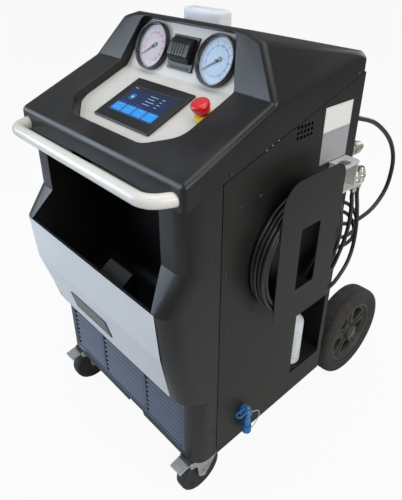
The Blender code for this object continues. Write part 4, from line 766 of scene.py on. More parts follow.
def lathe(name, profile, steps, seat, finish, *nodes, body="cabinet", **form):
    """A turned piece in its place, dressed."""
    return dress(placed(turned(name, profile, steps, **form), seat), finish, *nodes, body=body)


# Hoses

def tube(name, radius, resolution):
    """A round curve with closed ends, as yet without points."""
    data = bpy.data.curves.new(name, "CURVE")
    data.dimensions = "3D"
    data.bevel_depth = radius
    data.bevel_resolution = resolution
    data.use_fill_caps = True
    return data


def smooth_route(points, spacing):
    """Evenly spaced points on a smooth curve through given ones."""
    knots = [Vector(p) for p in points]
    knots = [2 * knots[0] - knots[1], *knots, 2 * knots[-1] - knots[-2]]
    fine = []
    for a, b, c, d in zip(knots, knots[1:], knots[2:], knots[3:]):
        for k in range(16):
            t = k / 16
            fine.append(0.5 * (2 * b + (c - a) * t + (2 * a - 5 * b + 4 * c - d) * t * t
                               + (3 * b - a - 3 * c + d) * t ** 3))
    fine.append(knots[-2])
    length = sum((q - p).length for p, q in zip(fine, fine[1:]))
    count = max(3, round(length / spacing))
    route, walked, target = [fine[0]], 0.0, length / count
    for p, q in zip(fine, fine[1:]):
        step = (q - p).length
        while walked + step >= target - 1e-9 and len(route) < count:
            route.append(p.lerp(q, (target - walked) / step))
            target += length / count
        walked += step
    route.append(fine[-1])
    return route


def hose(name, points, radius, spacing, radii=None):
    """A round hose on a smooth curve; radii narrow or widen it from end to end."""
    route = smooth_route(points, spacing)
    data = tube(name, radius, 5)
    data.resolution_u = 4
    spline = data.splines.new("BEZIER")
    spline.bezier_points.add(len(route) - 1)
    for i, (point, spot) in enumerate(zip(spline.bezier_points, route)):
        point.co = STATION + spot
        point.handle_left_type = point.handle_right_type = "AUTO"
        if radii:
            share = i / (len(route) - 1) * (len(radii) - 1)
            k = min(int(share), len(radii) - 2)
            point.radius = (radii[k] + (radii[k + 1] - radii[k]) * (share - k)) / radius
    length = sum((q - p).length for p, q in zip(route, route[1:]))
    return linked(name, data), route, length


def as_mesh(obj):
    alone(obj)
    bpy.ops.object.convert(target="MESH")
    made = bpy.context.object
    edit(made)
    bpy.ops.mesh.remove_doubles(threshold=0.000002)
    return smoothed(made)


def wound(start, end, columns):
    """Turns about the hanger's saddle: inwards in one column, outwards in the next. Angles in degrees."""
    first, second = columns
    count = round((end - start) / 15)
    points = []
    for k in range(count + 1):
        angle = start + (end - start) * k / count
        radius = COIL_OUTER - min(angle - start, end - angle) / 360 * COIL_LAYER
        turn = math.radians(angle)
        radius += 0.0012 * (1 - math.sin(turn)) + 0.0007 * math.sin(2 * turn + columns[0] * 300)
        share = min(1.0, max(0.0, (angle - (start + end) / 2 + 60) / 120))
        x = first + (second - first) * share * share * (3 - 2 * share)
        points.append(ring_point(x, angle, radius))
    return points


def ring_point(x, angle, radius):
    """A place round the coil's centre, the angle in degrees."""
    turn = math.radians(angle)
    return (x, COIL_CENTRE[0] + radius * math.cos(turn), COIL_CENTRE[1] + radius * math.sin(turn))


def tail(port_z, x, top):
    """Straight out of a port, back in a leaning half circle and forward beside the panel, then upwards."""
    bend_y, bend_r, level_y = 0.044, 0.041, 0.012
    lean = x - PORT_X
    drop = math.sqrt((2 * bend_r) ** 2 - lean ** 2)
    middle = Vector((PORT_X + lean / 2, bend_y, port_z - drop / 2))
    out = Vector((lean, 0, -drop)) / 2
    points = [(PORT_X, PORT_Y, port_z), (PORT_X, 0.0320, port_z)]
    for k in range(7):
        turn = math.pi * k / 6
        points.append(tuple(middle - out * math.cos(turn) + Vector((0, bend_r, 0)) * math.sin(turn)))
    reach, rise = level_y - top[0], top[1] - (port_z - drop)
    for k in range(4):
        turn = math.pi * k / 6
        points.append((x, level_y - reach * math.sin(turn), top[1] - rise * math.cos(turn)))
    return points


HIGH_ROUTE = (tail(HIGH_PORT_Z, 0.3072, (-0.056, 0.650)) + [ring_point(COIL_COLUMNS[0], 8, 0.1510)]
              + wound(20, 280 + 3 * 360, COIL_COLUMNS[:2])
              + [(0.3205, -0.1200, 0.5270), (0.3240, -0.0820, 0.5290), (0.3250, -0.0560, 0.5400),
                 (0.3260, -0.0347, 0.5770), (0.3280, -0.0193, 0.6213), (0.3290, -0.0149, 0.6684),
                 (0.3300, -0.0210, 0.7187), (0.3300, -0.0260, 0.7357), (0.3300, -0.0260, 0.7517)])
LOW_ROUTE = (tail(LOW_PORT_Z, 0.3110, (-0.036, 0.660)) + [ring_point(0.3170, 9, 0.1690)]
             + [ring_point(0.3235, 20, 0.1600), ring_point(COIL_COLUMNS[2], 33, 0.1520)]
             + wound(48, 268 + 3 * 360, COIL_COLUMNS[2:])
             + [(0.3382, -0.1500, 0.5090), (0.3382, -0.1050, 0.5010), (0.3382, -0.0700, 0.5000),
                (0.3380, -0.0400, 0.5110), (0.3360, -0.0013, 0.5400), (0.3315, 0.0220, 0.5831),
                (0.3265, 0.0290, 0.6393), (0.3245, 0.0197, 0.6911), (0.3240, 0.0090, 0.7257),
                (0.3240, 0.0060, 0.7397), (0.3240, 0.0060, 0.7517)])
REAR_ROUTE = [RETURN_PORT, (0.240, 0.0503, 0.900), (0.246, 0.086, 0.886), (0.250, 0.177, 0.853),
              (0.252, 0.262, 0.795), (0.252, 0.312, 0.735), (0.252, 0.328, 0.675), (0.250, 0.312, 0.605),
              (0.240, 0.252, 0.552), (0.215, 0.170, 0.535), (0.164, 0.112, 0.580), (0.150, 0.0803, 0.600),
              (0.150, 0.0503, 0.600), (0.150, PORT_Y, 0.600)]


def coupler(name, spot, node):
    """Quick coupler: crimped tail, knurled body, flange on the holder, knurled collar and a valve end."""
    profile = mm((0, 0), (6.8, 0), (7.3, 0.8), (7.3, 2.8), (6.6, 3.3), (6.6, 5), (7.3, 5.5), (7.3, 7.5),
                 (6.6, 8), (6.6, 9.8), (8, 11.2), (10.4, 14), (11.2, 15.4), (11.2, 27.3), (13.5, 27.3),
                 (13.5, 34.3), (13.1, 35), (11.2, 36.8), (11.2, 44), (10.6, 44.8), (8.8, 45.2), (8.5, 45.8),
                 (8.5, 50.2), (7.5, 52), (5.5, 52), (5.5, 48), (0, 48))
    made = turned(name, profile, 48)
    knurled(made, 0.0160, 0.0260, 48, 0.00028)
    knurled(made, 0.0380, 0.0430, 48, 0.00028)
    placed(made, standing(*spot, COUPLER_Z))
    return dress(made, "nickel", node)


def sleeve(name, points, radii):
    """A tapered bend guard over the end of a hose."""
    made, _, _ = hose(name, points, radii[0], 0.004, radii)
    as_mesh(made)
    return dress(made, "hose_black", slot="hose_black")


def build_hoses():
    couplers = {"high": coupler("quick_coupler_high", COUPLER_HIGH, "coupler_high"),
                "low": coupler("quick_coupler_low", COUPLER_LOW, "coupler_low")}
    stands = {"high": ["hose_coil", "hose_lead_high", "hose_tail_high"],
              "low": ["hose_lead_low", "hose_tail_low"]}
    taper = [0.0082, 0.0082, 0.0072, 0.0063, 0.0056]
    for side, route, z in (("high", HIGH_ROUTE, HIGH_PORT_Z), ("low", LOW_ROUTE, LOW_PORT_Z)):
        line, path, length = hose("service_hose_" + side, route, HOSE_R, 0.014)
        dress(line, "hose_black", *stands[side])
        guard = sleeve("port_guard_" + side, path[:3], taper)
    line, path, length = hose("return_hose", REAR_ROUTE, REAR_HOSE_R, 0.026)
    dress(line, "hose_black", "rear_hose")
    taper = [0.0096, 0.0096, 0.0086, 0.0076, 0.0067]
    guards = [sleeve("return_guard_top", path[:2], taper), sleeve("return_guard_low", path[:-3:-1], taper)]


# Cabinet

def build_cabinet():
    tool = block("finger_slot", (-0.072, -0.530, 0.850), (0.004, -0.512, 0.8675), 0.006, 4)
    hood = cut(welded_copy("hood"), placed(tool, HOME))
    dress(eased(hood, 0.0022, 3, 16.0), "black_moulding", "hood")
    for node, width, finish, *slot in (
            ("faceplate", 0.0004, "fascia_grey"),
            ("front_shell", 0.0010, "black_moulding"),
            ("bin_liner", 0.0012, "bin_black", "black_moulding"),
            ("front_plate", 0.0004, "silver_sheet"),
            ("front_grille", 0.0004, "grille_black", "black_moulding"),
            ("side_panel_right", 0.0004, "black_paint"),
            ("side_panel_left", 0.0004, "black_paint"),
            ("rear_panel", 0.0004, "black_paint"),
            ("base_tray", 0.0006, "black_paint"),
            ("rear_platform", 0.0012, "black_paint"),
            ("hose_hanger", 0.0005, "black_paint"),
            ("coupler_holder", 0.0008, "bracket_grey")):
        dress_copy(node, width, finish, slot=slot[0] if slot else None)


def build_handle():
    plan = [(-0.281, -0.500), (-0.250, -0.566), (0.250, -0.566), (0.281, -0.500)]
    route = [(x, y, HANDLE_Z) for x, y in fillet(plan, [0, 0.045, 0.045, 0], 14)]
    data = tube("handle_tube", HANDLE_R, 10)
    spline = data.splines.new("POLY")
    spline.points.add(len(route) - 1)
    for point, spot in zip(spline.points, route):
        point.co = (*(STATION + Vector(spot)), 1)
    made = as_mesh(linked("handle_tube", data))
    named("handle_tube")
    dress(made, "handle_paint", "handle_bar")


def build_screws():
    """Button-head screws of the side panels, modelled once and copied."""
    profile = mm((0, 0.9), (1.4, 0.9), (1.6, 2.1), (2.7, 2.1), (3.9, 1.5), (4.5, 0.4), (4.5, 0), (0, 0))
    first = turned("screw", profile, 24)
    seats = [(-0.411, 0.901), (-0.326, 0.831), (-0.380, 0.824), (-0.459, 0.740), (-0.417, 0.688),
             (-0.325, 0.537), (-0.411, 0.528), (-0.440, 0.226), (-0.030, 1.021)]
    for side, sign in (("right", 1), ("left", -1)):
        parts = []
        for y, z in seats:
            depth = HALF_WIDTH if y > -0.430 else HALF_WIDTH - 0.0014
            parts.append(copied(first, "screw_copy", standing(sign * depth, y, z, sign * 90, "Y")))
        dress(joined("panel_screws_" + side, parts), "gauge_black")
    seats = [(x, z) for x in (-0.280, 0.280) for z in (0.170, 0.430, 0.700)] + [(-0.15, 1.000), (0.15, 1.000)]
    parts = [copied(first, "screw_copy", standing(x, PANEL_BACK_Y, z, -90)) for x, z in seats]
    dress(joined("panel_screws_rear", parts), "gauge_black")
    bpy.data.objects.remove(first)


def build_labels():
    for name, (low, high, _) in LABEL_ROWS.items():
        near, far = (HALF_WIDTH + 0.0001, LABEL_Y[0], low), (HALF_WIDTH + 0.0004, LABEL_Y[1], high)
        made = block(name, near, far, 0.00012, 1)
        dress(placed(made, HOME), name)


def build_badge():
    """A bare cast badge on the plate's sloping part: a raised rim round a plain stippled field."""
    seat = standing(*BADGE_AT, PLATE_TILT)
    rim = block("badge_rim", (-0.080, -0.030, 0.0003), (0.080, 0.030, 0.0026), 0.0008, 2)
    cut(rim, block("badge_well", (-0.075, -0.025, 0.0014), (0.075, 0.025, 0.0040)))
    dress(placed(eased(rim, 0.0003, 2), seat), "gauge_black")
    field = block("badge_field", (-0.0747, -0.0247, 0.0015), (0.0747, 0.0247, 0.0021), 0.0002, 1)
    dress(placed(field, seat), "badge_grey")


def build_louvres():
    """Pressed hoods over the rear slots."""
    low, high = 0.760, 0.769
    section = [(0.0, high + 0.0016), (0.0022, high + 0.0010), (0.0068, low + 0.0015),
               (0.0062, low + 0.0005), (0.0017, high), (0.0, high + 0.0002)]
    first = cut_out("louvre", section, -0.141, 0.141)
    turn = Matrix.Rotation(math.radians(90), 4, "Z") @ Matrix.Rotation(math.radians(90), 4, "X")
    placed(first, Matrix.Translation(at(-0.040, PANEL_BACK_Y, 0)) @ turn)
    parts = [copied(first, "louvre_copy", Matrix.Translation((0, 0, 0.020 * k))) for k in range(1, 6)]
    dress(eased(joined("rear_louvres", [first, *parts]), 0.0003, 2), "black_paint")


def build_top_module():
    made = block("top_housing", (-0.240, -0.058, 1.030), (-0.095, -0.012, 1.108), 0.009, 5)
    run, rise = DECK_REAR[0] - RIDGE[0], DECK_REAR[1] - RIDGE[1]
    edit(made)
    bpy.ops.mesh.bisect(plane_co=(0, RIDGE[0], RIDGE[1] + GAP), plane_no=(0, -rise, run), use_fill=True,
                        clear_inner=True)
    smoothed(made)
    groove = block("groove", (-0.250, -0.070, 1.0895), (-0.085, 0.0, 1.0901))
    inner = block("core", (-0.2392, -0.0572, 1.080), (-0.0958, -0.0128, 1.100), 0.0085, 4)
    cut(groove, inner)
    cut(made, groove)
    placed(made, HOME)
    dress(smoothed(made), "white_plastic", "top_module")


# Instruments

def scale_mark(angle, near, far, width, low):
    """One printed stroke of a dial, square to its rim."""
    made = block("stroke", (-width / 2, near, low), (width / 2, far, low + 2 * INK_RAISE))
    return placed(made, Matrix.Rotation(math.radians(angle), 4, "Z"))


def numeral(text, angle, radius, size):
    alone()
    bpy.ops.object.text_add()
    data = bpy.context.object.data
    data.body = text
    data.size = size
    data.align_x = "CENTER"
    data.align_y = "CENTER"
    data.extrude = INK_RAISE
    bpy.ops.object.convert(target="MESH")
    made = bpy.context.object
    turn = math.radians(angle)
    spot = (-radius * math.sin(turn), radius * math.cos(turn), DIAL_TOP + INK_RAISE)
    return placed(made, Matrix.Translation(spot))


def build_gauge(side, sign, step, dial, ink):
    seat = RISE @ Matrix.Translation((sign * GAUGE_X, 0, 0))
    inner, floor = DIAL_R + GAP, DIAL_LOW - GAP
    case = [(0.0, floor), (inner, floor), (inner, 0.0110), (inner + 0.0003, 0.0124),
            (inner + 0.0010, 0.0134), (inner + 0.0018, 0.0139), (0.0530, 0.0139), (0.0541, 0.0133),
            (0.0548, 0.0119), (GAUGE_R, 0.0099), (GAUGE_R, 0.0060), (0.0546, 0.0056), (0.0546, 0.0046),
            (GAUGE_R, 0.0042), (GAUGE_R, 0.0012), (0.0546, GAP), (GAUGE_CUP_R, GAP), (GAUGE_CUP_R, -0.026),
            (GAUGE_CUP_R - 0.003, -0.029), (0.0, -0.029)]
    lathe("gauge_ring_" + side, case, 96, seat, "gauge_black", "gauge_case_" + side)
    disc = [(0.0, DIAL_TOP), (DIAL_R - 0.0004, DIAL_TOP), (DIAL_R, DIAL_TOP - 0.0003), (DIAL_R, DIAL_LOW),
            (0.0, DIAL_LOW)]
    lathe("gauge_face_" + side, disc, 72, seat, dial, "gauge_dial_" + side)
    strokes, numerals = [], []
    for k in range(DIVISIONS + 1):
        angle = POINTER_REST - SWEEP * k / DIVISIONS
        near, width = (0.0365, 0.0007) if k % 5 == 0 else (0.0390, 0.0003)
        strokes.append(scale_mark(angle, near, 0.0425, width, DIAL_TOP))
        if k % 5 == 0:
            numerals.append(numeral(str(step * k // 5), angle, 0.0315, 0.0068))
    for k in range(INNER_DIVISIONS + 1):
        angle = POINTER_REST - SWEEP * k / INNER_DIVISIONS
        numerals.append(scale_mark(angle, 0.0205, 0.0235 if k % 4 == 0 else 0.0222, 0.0004, DIAL_TOP))
    dress(placed(joined("gauge_strokes_" + side, strokes), seat), "dial_ink")
    dress(placed(joined("gauge_numbers_" + side, numerals), seat), ink)
    needle = mm((1.4, 0), (0.5, 41), (-0.5, 41), (-1.4, 0), (-1.4, -4.5), (-4.2, -7.5), (-4.6, -14),
                (4.6, -14), (4.2, -7.5), (1.4, -4.5))
    rounds = [0.0, 0.0004, 0.0004, 0.0, 0.001, 0.002, 0.003, 0.003, 0.002, 0.001]
    blade = cut_out("blade", fillet(needle, rounds, 4), 0.0049, 0.0061)
    eased(blade, 0.0002, 2)
    knob = mm((0, 3.3), (3.4, 3.3), (3.4, 6.8), (2.9, 7.4), (1.6, 7.6), (1.4, 7.2), (0, 7.2))
    hub = turned("hub", knob, 32)
    pointer = joined("gauge_needle_" + side, [blade, hub])
    placed(pointer, seat @ Matrix.Rotation(math.radians(POINTER_REST), 4, "Z"))
    dress(pointer, "gauge_black", "gauge_pointer_" + side, body="pointer_" + side)
    glass = [(0.0, 0.0110), (DIAL_R - 0.0005, 0.0110), (DIAL_R, 0.0106), (DIAL_R, 0.0095), (0.0, 0.0095)]
    lathe("gauge_window_" + side, glass, 72, seat, "clear_glass", "gauge_glass_" + side)


def build_printer():
    dress_copy("printer_body", 0.0005, "black_moulding")
    dress_copy("printer_door", 0.0005, "black_moulding", body="door")
    half = PAPER_W / 2
    roll = [(0.0, half), (0.006, half), (0.006, half - 0.0006), (0.0075, half - 0.0006), (0.0075, half),
            (PAPER_R, half), (PAPER_R, -half), (0.0, -half)]
    made = turned("receipt_roll", roll, 48)
    spot = Matrix.Translation((0, 0.006, -0.031 + PAPER_R + GAP)) @ Matrix.Rotation(math.radians(90), 4, "Y")
    dress(placed(made, RISE @ spot), "paper", "paper_roll")
    edge = mm((-30, -34.5), (30, -34.5), (30, -30), (-30, -30))
    lip = cut_out("tear_edge", fillet(edge, 0.0012, 3), 0.0050, 0.0062)
    dress(placed(eased(lip, 0.0003), RISE), "hub_grey")


def build_screen():
    dress_copy("screen_bezel", 0.0010, "black_moulding", 3)
    dress_copy("screen_glass", 0.0002, "screen_face")
    low, high = DISPLAY_TOP, DISPLAY_TOP + 0.00015

    def tile(x0, y0, x1, y1, radius):
        corners = [(x0, y0), (x1, y0), (x1, y1), (x0, y1)]
        return cut_out("tile", fillet(corners, radius, 3), low, high)

    tiles = [tile(x, -0.0395, x + 0.0335, -0.0155, 0.0018) for x in (-0.0725, -0.0355, 0.0015, 0.0385)]
    ring = [(0.0092, low), (0.0092, high), (0.0076, high), (0.0076, low)]
    dial = turned("dial_icon", ring, 40, closed=True)
    tiles.append(placed(dial, Matrix.Translation((-0.050, 0.010, 0))))
    dress(placed(joined("screen_tiles", tiles), DESK), "tile_blue")
    marks = [tile(x, -0.0212, x + 0.0100, -0.0198, 0.0006) for x in (-0.0605, -0.0235, 0.0135, 0.0505)]
    marks += [tile(x, -0.0320, x + 0.0044, -0.0276, 0.0020) for x in (-0.0580, -0.0210, 0.0160, 0.0530)]
    for row, (start, end) in enumerate(((-0.004, 0.022), (-0.004, 0.018), (-0.004, 0.026), (-0.004, 0.020))):
        y = 0.0270 - 0.0090 * row
        marks.append(tile(start, y, end, y + 0.0012, 0.0005))
        marks.append(tile(0.036, y, 0.046 - 0.002 * (row % 2), y + 0.0012, 0.0005))
    marks.append(tile(-0.0725, 0.0375, -0.0600, 0.0387, 0.0005))
    marks.append(placed(turned("dot_icon", [(0.0, high), (0.0040, high), (0.0040, low), (0.0, low)], 24),
                        Matrix.Translation((-0.050, 0.010, 0))))
    dress(placed(joined("screen_marks", marks), DESK), "mark_white")


def build_stop():
    seat = DESK @ Matrix.Translation((*STOP_AT, 0))
    collar = mm((0, -10), (8.8, -10), (8.8, 5.6), (9.4, 6), (18.4, 6), (19.3, 5.6), (20, 4.4), (20, 0.3),
                (11, 0.3), (11, -22), (0, -22))
    lathe("stop_plate", collar, 64, seat, "stop_yellow", "stop_collar")
    button = mm((0, 35.8), (5, 35.9), (10.5, 35.6), (14.8, 35), (17.6, 33.8), (19.3, 31.8), (20, 29.2),
                (19.9, 26.2), (19.2, 22.6), (18, 18.8), (17, 16), (16, 14.8), (14, 14.2), (8.5, 14),
                (8.5, -4.5), (0, -4.5))
    lathe("stop_mushroom", button, 72, seat, "stop_red", "stop_button", body="stop")


# Running gear

def build_wheel(side, sign):
    seat = standing(sign * (WHEEL_OUT - WHEEL_W / 2), WHEEL_Y, WHEEL_R, sign * 90, "Y")
    half = [(RIM_R + GAP, 0.0315), (0.1085, 0.0322), (0.1150, 0.0332), (0.1162, 0.0326), (0.1176, 0.0326),
            (0.1188, 0.0334), (0.1300, 0.0375), (0.1372, 0.0364), (0.1430, 0.0332), (0.1470, 0.0282),
            (0.1492, 0.0218), (0.1500, 0.0150), (0.1500, 0.0112), (0.1486, 0.0106), (0.1486, 0.0082),
            (0.1500, 0.0076)]
    profile = half + [(radius, -height) for radius, height in reversed(half)]
    lathe("wheel_%s_tread" % side, profile, 120, seat, "tyre_rubber", "wheel_%s_tyre" % side,
          body="wheel_" + side, closed=True, sharp=30.0)
    web, bore, reach = 0.0200, AXLE_R + GAP, 0.025
    face = [(0.0980, 0.0315), (0.1040, 0.0312), (RIM_R, 0.0296), (RIM_R, -0.0296), (0.0980, -0.0315),
            (0.0940, -0.0250), (0.0930, web - 0.010), (0.0300, web - 0.012), (0.0280, -0.0375 - reach),
            (bore, -0.0375 - reach), (bore, 0.0345), (0.0240, 0.0345), (0.0262, 0.0330),
            (0.0285, web + 0.003), (0.0320, web), (0.0880, web), (0.0915, web + 0.0015), (0.0950, 0.0290)]
    hub = turned("wheel_%s_centre" % side, face, 90, closed=True, sharp=30.0)
    span = math.radians(21)
    near, far = 0.044, 0.083
    shape = [(far * math.cos(span), -far * math.sin(span)), (far * 1.05, 0.0),
             (far * math.cos(span), far * math.sin(span)),
             (near * math.cos(span), near * math.sin(span) * 0.7),
             (near * math.cos(span), -near * math.sin(span) * 0.7)]
    window = cut_out("window", fillet(shape, [0.008, 0.05, 0.008, 0.006, 0.006], 5), 0.0, 0.030)
    cut(hub, around(window, "windows", 5))
    eased(hub, 0.0010, 2, 32.0)
    rib = block("rib", (0.028, -0.0040, 0.018), (0.094, 0.0040, 0.0235), 0.0014, 2)
    ribs = around(placed(rib, Matrix.Rotation(math.radians(36), 4, "Z")), "ribs", 5)
    centre = placed(joined("wheel_%s_centre" % side, [hub, ribs]), seat)
    dress(centre, "hub_grey", "wheel_%s_hub" % side, body="wheel_" + side)
    cap = mm((0, 36.8), (9, 36.6), (14, 35.8), (16.5, 34.6), (16.5, 33.8), (0, 33.8))
    lathe("axle_cap_" + side, cap, 40, seat, "gauge_black", body="wheel_" + side)


def hex_bolt(name, radius, height):
    """A chamfered hexagon head."""
    profile = [(0.0, height), (radius * 0.82, height), (radius, height * 0.82), (radius, 0.0), (0.0, 0.0)]
    return turned(name, profile, 6, sharp=20.0)


def build_caster(side, sign):
    x, y = sign * CASTER[0], CASTER[1]
    under = TRAY_Z - 0.002 - GAP
    stem = "caster_%s_" % side
    bolts = []
    for dx in (-0.022, 0.022):
        for dy in (-0.0355, 0.0355):
            head = hex_bolt("bolt", 0.0062, 0.0045)
            bolts.append(placed(head, standing(x + dx, y + dy, under - 0.003, 180)))
    pad = joined(stem + "mount", [eased_copy(stem + "plate", 0.0005), *bolts])
    dress(pad, "zinc", stem + "plate")
    nuts = []
    for end in (-1, 1):
        spot = standing(x + end * 0.0222, y - CASTER_TRAIL, CASTER_R, end * 90, "Y")
        nuts.append(placed(hex_bolt("nut", 0.0085, 0.0052), spot))
    fork = joined(stem + "yoke", [eased_copy(stem + "fork", 0.0006), *nuts])
    dress(fork, "zinc", stem + "fork", body=stem + "fork_body")
    half = CASTER_W / 2
    tread = [(CASTER_R - 0.0062, half - 0.0002), (CASTER_R - 0.0030, half - 0.0016),
             (CASTER_R - 0.0010, half - 0.0040), (CASTER_R, half - 0.0080)]
    side_wall = [(0.0053, half), (0.0115, half), (0.0125, half - 0.0008), (0.0150, half - 0.0040),
                 (0.0180, half - 0.0052), (0.0400, half - 0.0052), (0.0430, half - 0.0040),
                 (0.0462, half - 0.0020), (0.0480, half - 0.0026), (0.0500, half - 0.0012)]
    profile = side_wall + tread
    profile = profile + [(radius, -height) for radius, height in reversed(profile)]
    wheel = turned(stem + "roller", profile, 72, closed=True, sharp=28.0)
    placed(wheel, standing(x, y - CASTER_TRAIL, CASTER_R, 90, "Y"))
    dress(wheel, "tyre_rubber", stem + "wheel", body=stem + "wheel_body")
    dress_copy(stem + "brake", 0.0006, "zinc", body=stem + "brake_body")


def build_axle():
    rod = [(0.0, 0.297), (AXLE_R - 0.0012, 0.297), (AXLE_R, 0.2958), (AXLE_R, -0.2958),
           (AXLE_R - 0.0012, -0.297), (0.0, -0.297)]
    lathe("wheel_axle", rod, 40, standing(0, WHEEL_Y, WHEEL_R, 90, "Y"), "zinc", "axle")


# Bottle, valve and rear parts

def build_fitting():
    body = mm((0, 80), (7, 80), (7.2, 77), (8.5, 76.5), (9, 79.8), (11.2, 79.6), (12, 78.5), (12, 66.5),
              (15.8, 65), (16.3, 63.5), (16.3, 45), (15.8, 43.5), (13, 42), (13, 36.5), (16.8, 35),
              (17.2, 33.5), (17.2, 14.5), (16.5, 13.2), (12, 11.5), (12, -1.5), (0, -1.5))
    made = turned("service_port", body, 60)
    knurled(made, 0.0450, 0.0635, 60, 0.00022)
    knurled(made, 0.0145, 0.0335, 60, 0.00022)
    placed(made, standing(0.270, 0, 0.822, -90))
    dress(made, "nickel", "rear_fitting")


def build_bottle():
    seat = standing(0.255, -0.105, 0.2145)
    outer = mm((13, 185), (13, 165), (15, 160), (21, 156), (28.5, 150), (34, 144), (35.6, 139), (36, 134),
               (36, 6), (35.2, 2.8), (33, 0.8), (25, 0.3), (0, 1.2))
    inner = mm((0, 2.8), (31, 2.4), (34.5, 6), (34.5, 133.5), (32.5, 143), (20, 154.2), (11.5, 161.5),
               (11.5, 185))
    lathe("oil_flask", inner + outer, 64, seat, "milky_plastic", "oil_bottle", closed=True)
    cap = mm((0, 189), (14, 189), (15.2, 188.2), (15.5, 187), (15.5, 171.5), (15, 171), (13.3, 171),
             (13.3, 185.3), (0, 185.3))
    made = knurled(turned("flask_cap", cap, 48), 0.1715, 0.1870, 48, 0.0004)
    dress(placed(made, seat), "white_plastic", "bottle_cap")
    marks = []
    for k in range(9):
        arc = []
        for angle in range(-30, -13 if k % 2 == 0 else -20, 3):
            turn = math.radians(angle)
            arc.append((0.0361 * math.cos(turn), 0.0361 * math.sin(turn), 0.025 + 0.012 * k))
        stroke = chain("graduation", arc)
        bpy.ops.mesh.extrude_region_move(TRANSFORM_OT_translate={"value": (0, 0, 0.0007)})
        applied(stroke, "SOLIDIFY", thickness=0.00015)
        marks.append(stroke)
    dress(placed(joined("flask_scale", marks), seat), "dial_ink")


def build_drain():
    dress_copy("drain_valve", 0.0004, "valve_blue", slot="brass")
    lever = mm((-8.5, 8.5), (-8.5, -40), (8.5, -40), (8.5, 8.5))
    loop = mm((-5, -13.5), (-5, -36.5), (5, -36.5), (5, -13.5))
    grip = cut_out("valve_grip", fillet(lever, 0.0075, 8), 0.0, 0.004)
    cut(grip, cut_out("grip_loop", fillet(loop, 0.0045, 6), -0.002, 0.006))
    eased(grip, 0.0009, 3)
    placed(grip, standing(*DRAIN_AT, DRAIN_Z + 0.0135 + GAP))
    dress(grip, "valve_blue", "drain_lever", body="lever")
    head = mm((0, 2.8), (2.2, 2.8), (2.4, 3.6), (4.4, 3), (5, 1.6), (5, 0), (0, 0))
    screw = turned("grip_screw", head, 28)
    dress(placed(screw, standing(*DRAIN_AT, DRAIN_Z + 0.0178)), "nickel", body="lever")
    cap = mm((0, 0), (10.8, 0), (12, 1.2), (12, 20), (11.2, 21.2), (8.7, 21.2), (8.7, 3), (0, 3))
    made = knurled(turned("outlet_cap", cap, 40), 0.0015, 0.0200, 40, 0.0004)
    dress(placed(made, standing(*DRAIN_AT, 0.1605)), "valve_blue")
    strap = [(0.3180 + 0.0115, -0.340, 0.176), (0.3300, -0.331, 0.178), (0.3300, -0.316, 0.189),
             (0.3290, -0.306, 0.204), (0.3270, -0.310, 0.219), (0.3240, -0.322, 0.224),
             (0.3200, -0.3305, 0.2245)]
    made, _, _ = hose("cap_strap", strap, 0.0011, 0.006)
    as_mesh(made)
    dress(made, "tether")


def build_inlet():
    dress_copy("mains_inlet", 0.0005, "black_moulding")
    dress_copy("power_rocker", 0.0004, "gauge_black", body="rocker", slot="black_moulding")
    pins = []
    for x, z in ((-0.2110, 0.2115), (-0.2190, 0.2010), (-0.2030, 0.2010)):
        low, high = (x - 0.0008, -0.0215, z - 0.002), (x + 0.0008, -0.0090, z + 0.002)
        pins.append(block("pin", low, high, 0.0005, 2))
    dress(placed(joined("inlet_pins", pins), HOME), "nickel")


def plain_nodes():
    """CAD nodes inside the cabinet, which only take a better finish."""
    for node in ("compressor", "vacuum_pump"):
        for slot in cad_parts[node].material_slots:
            slot.material = FINISHES["motor_paint"].material


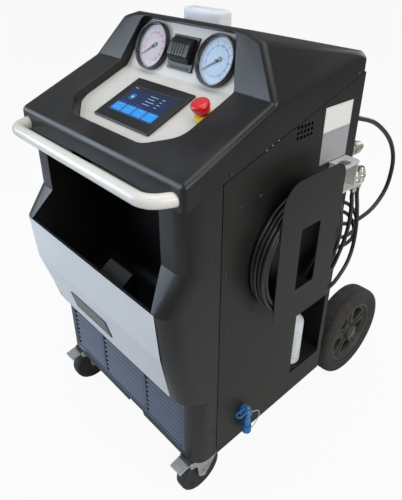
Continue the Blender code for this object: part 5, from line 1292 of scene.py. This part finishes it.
def white_surround(name):
    """White to the eye; a plain pale floor to the light, with the object's shadow on it."""
    made = Finish(name)
    seen = made.node("ShaderNodeLightPath", out="Is Camera Ray") * 0.93
    glow = made.node("ShaderNodeEmission", {}, {"Color": (1.0, 1.0, 1.0), "Strength": 1.0})
    grain = made.cloud(3.0, 2.0)
    shade = made.mixed(grain, (0.62, 0.62, 0.62), (0.66, 0.66, 0.66))
    made.surface(Base_Color=shade, Roughness=0.85, Specular_IOR_Level=0.0)
    both = made.node("ShaderNodeMixShader", {}, {0: seen, 1: Term(made, made.shader.outputs[0]), 2: glow})
    return made.shown_as(both)


def build_studio():
    alone()
    bpy.ops.mesh.primitive_circle_add(vertices=96, radius=14.0, fill_type="NGON")
    floor = named("studio_floor")
    floor.data.materials.append(white_surround("studio_floor").material)
    world = bpy.data.worlds.new("studio")
    world.use_nodes = True
    bpy.context.scene.world = world
    nodes, links = world.node_tree.nodes, world.node_tree.links
    path = nodes.new("ShaderNodeLightPath")
    ambient = nodes["Background"]
    ambient.inputs["Color"].default_value = (0.92, 0.96, 1.0, 1.0)
    ambient.inputs["Strength"].default_value = 0.34
    white = nodes.new("ShaderNodeBackground")
    white.inputs["Color"].default_value = (1.0, 1.0, 1.0, 1.0)
    white.inputs["Strength"].default_value = 1.0
    mix = nodes.new("ShaderNodeMixShader")
    links.new(path.outputs["Is Camera Ray"], mix.inputs[0])
    links.new(ambient.outputs[0], mix.inputs[1])
    links.new(white.outputs[0], mix.inputs[2])
    links.new(mix.outputs[0], nodes["World Output"].inputs["Surface"])
    soft_light("window", (-1.8, -2.0, 1.45), 1.8, 45.0, (0.74, 0.86, 1.0))
    soft_light("fill", (2.5, -0.4, 1.9), 2.0, 40.0, (1.0, 0.98, 0.95))
    soft_light("top", (0.2, -0.4, 3.2), 2.0, 24.0, (1.0, 0.99, 0.97))
    soft_light("rear", (0.4, 2.6, 1.9), 1.6, 14.0)
    bpy.context.scene.view_settings.view_transform = "Standard"


make_finishes()
set_camera()
build_hoses()
build_cabinet()
build_handle()
build_screws()
build_labels()
build_badge()
build_louvres()
build_top_module()
build_gauge("left", -1, 20, "dial_red", "red_ink")
build_gauge("right", 1, 10, "dial_blue", "blue_ink")
build_printer()
build_screen()
build_stop()
for SIDE, SIGN in (("right", 1), ("left", -1)):
    build_wheel(SIDE, SIGN)
    build_caster(SIDE, SIGN)
build_axle()
build_fitting()
build_bottle()
build_drain()
build_inlet()
plain_nodes()
build_studio()
alone()
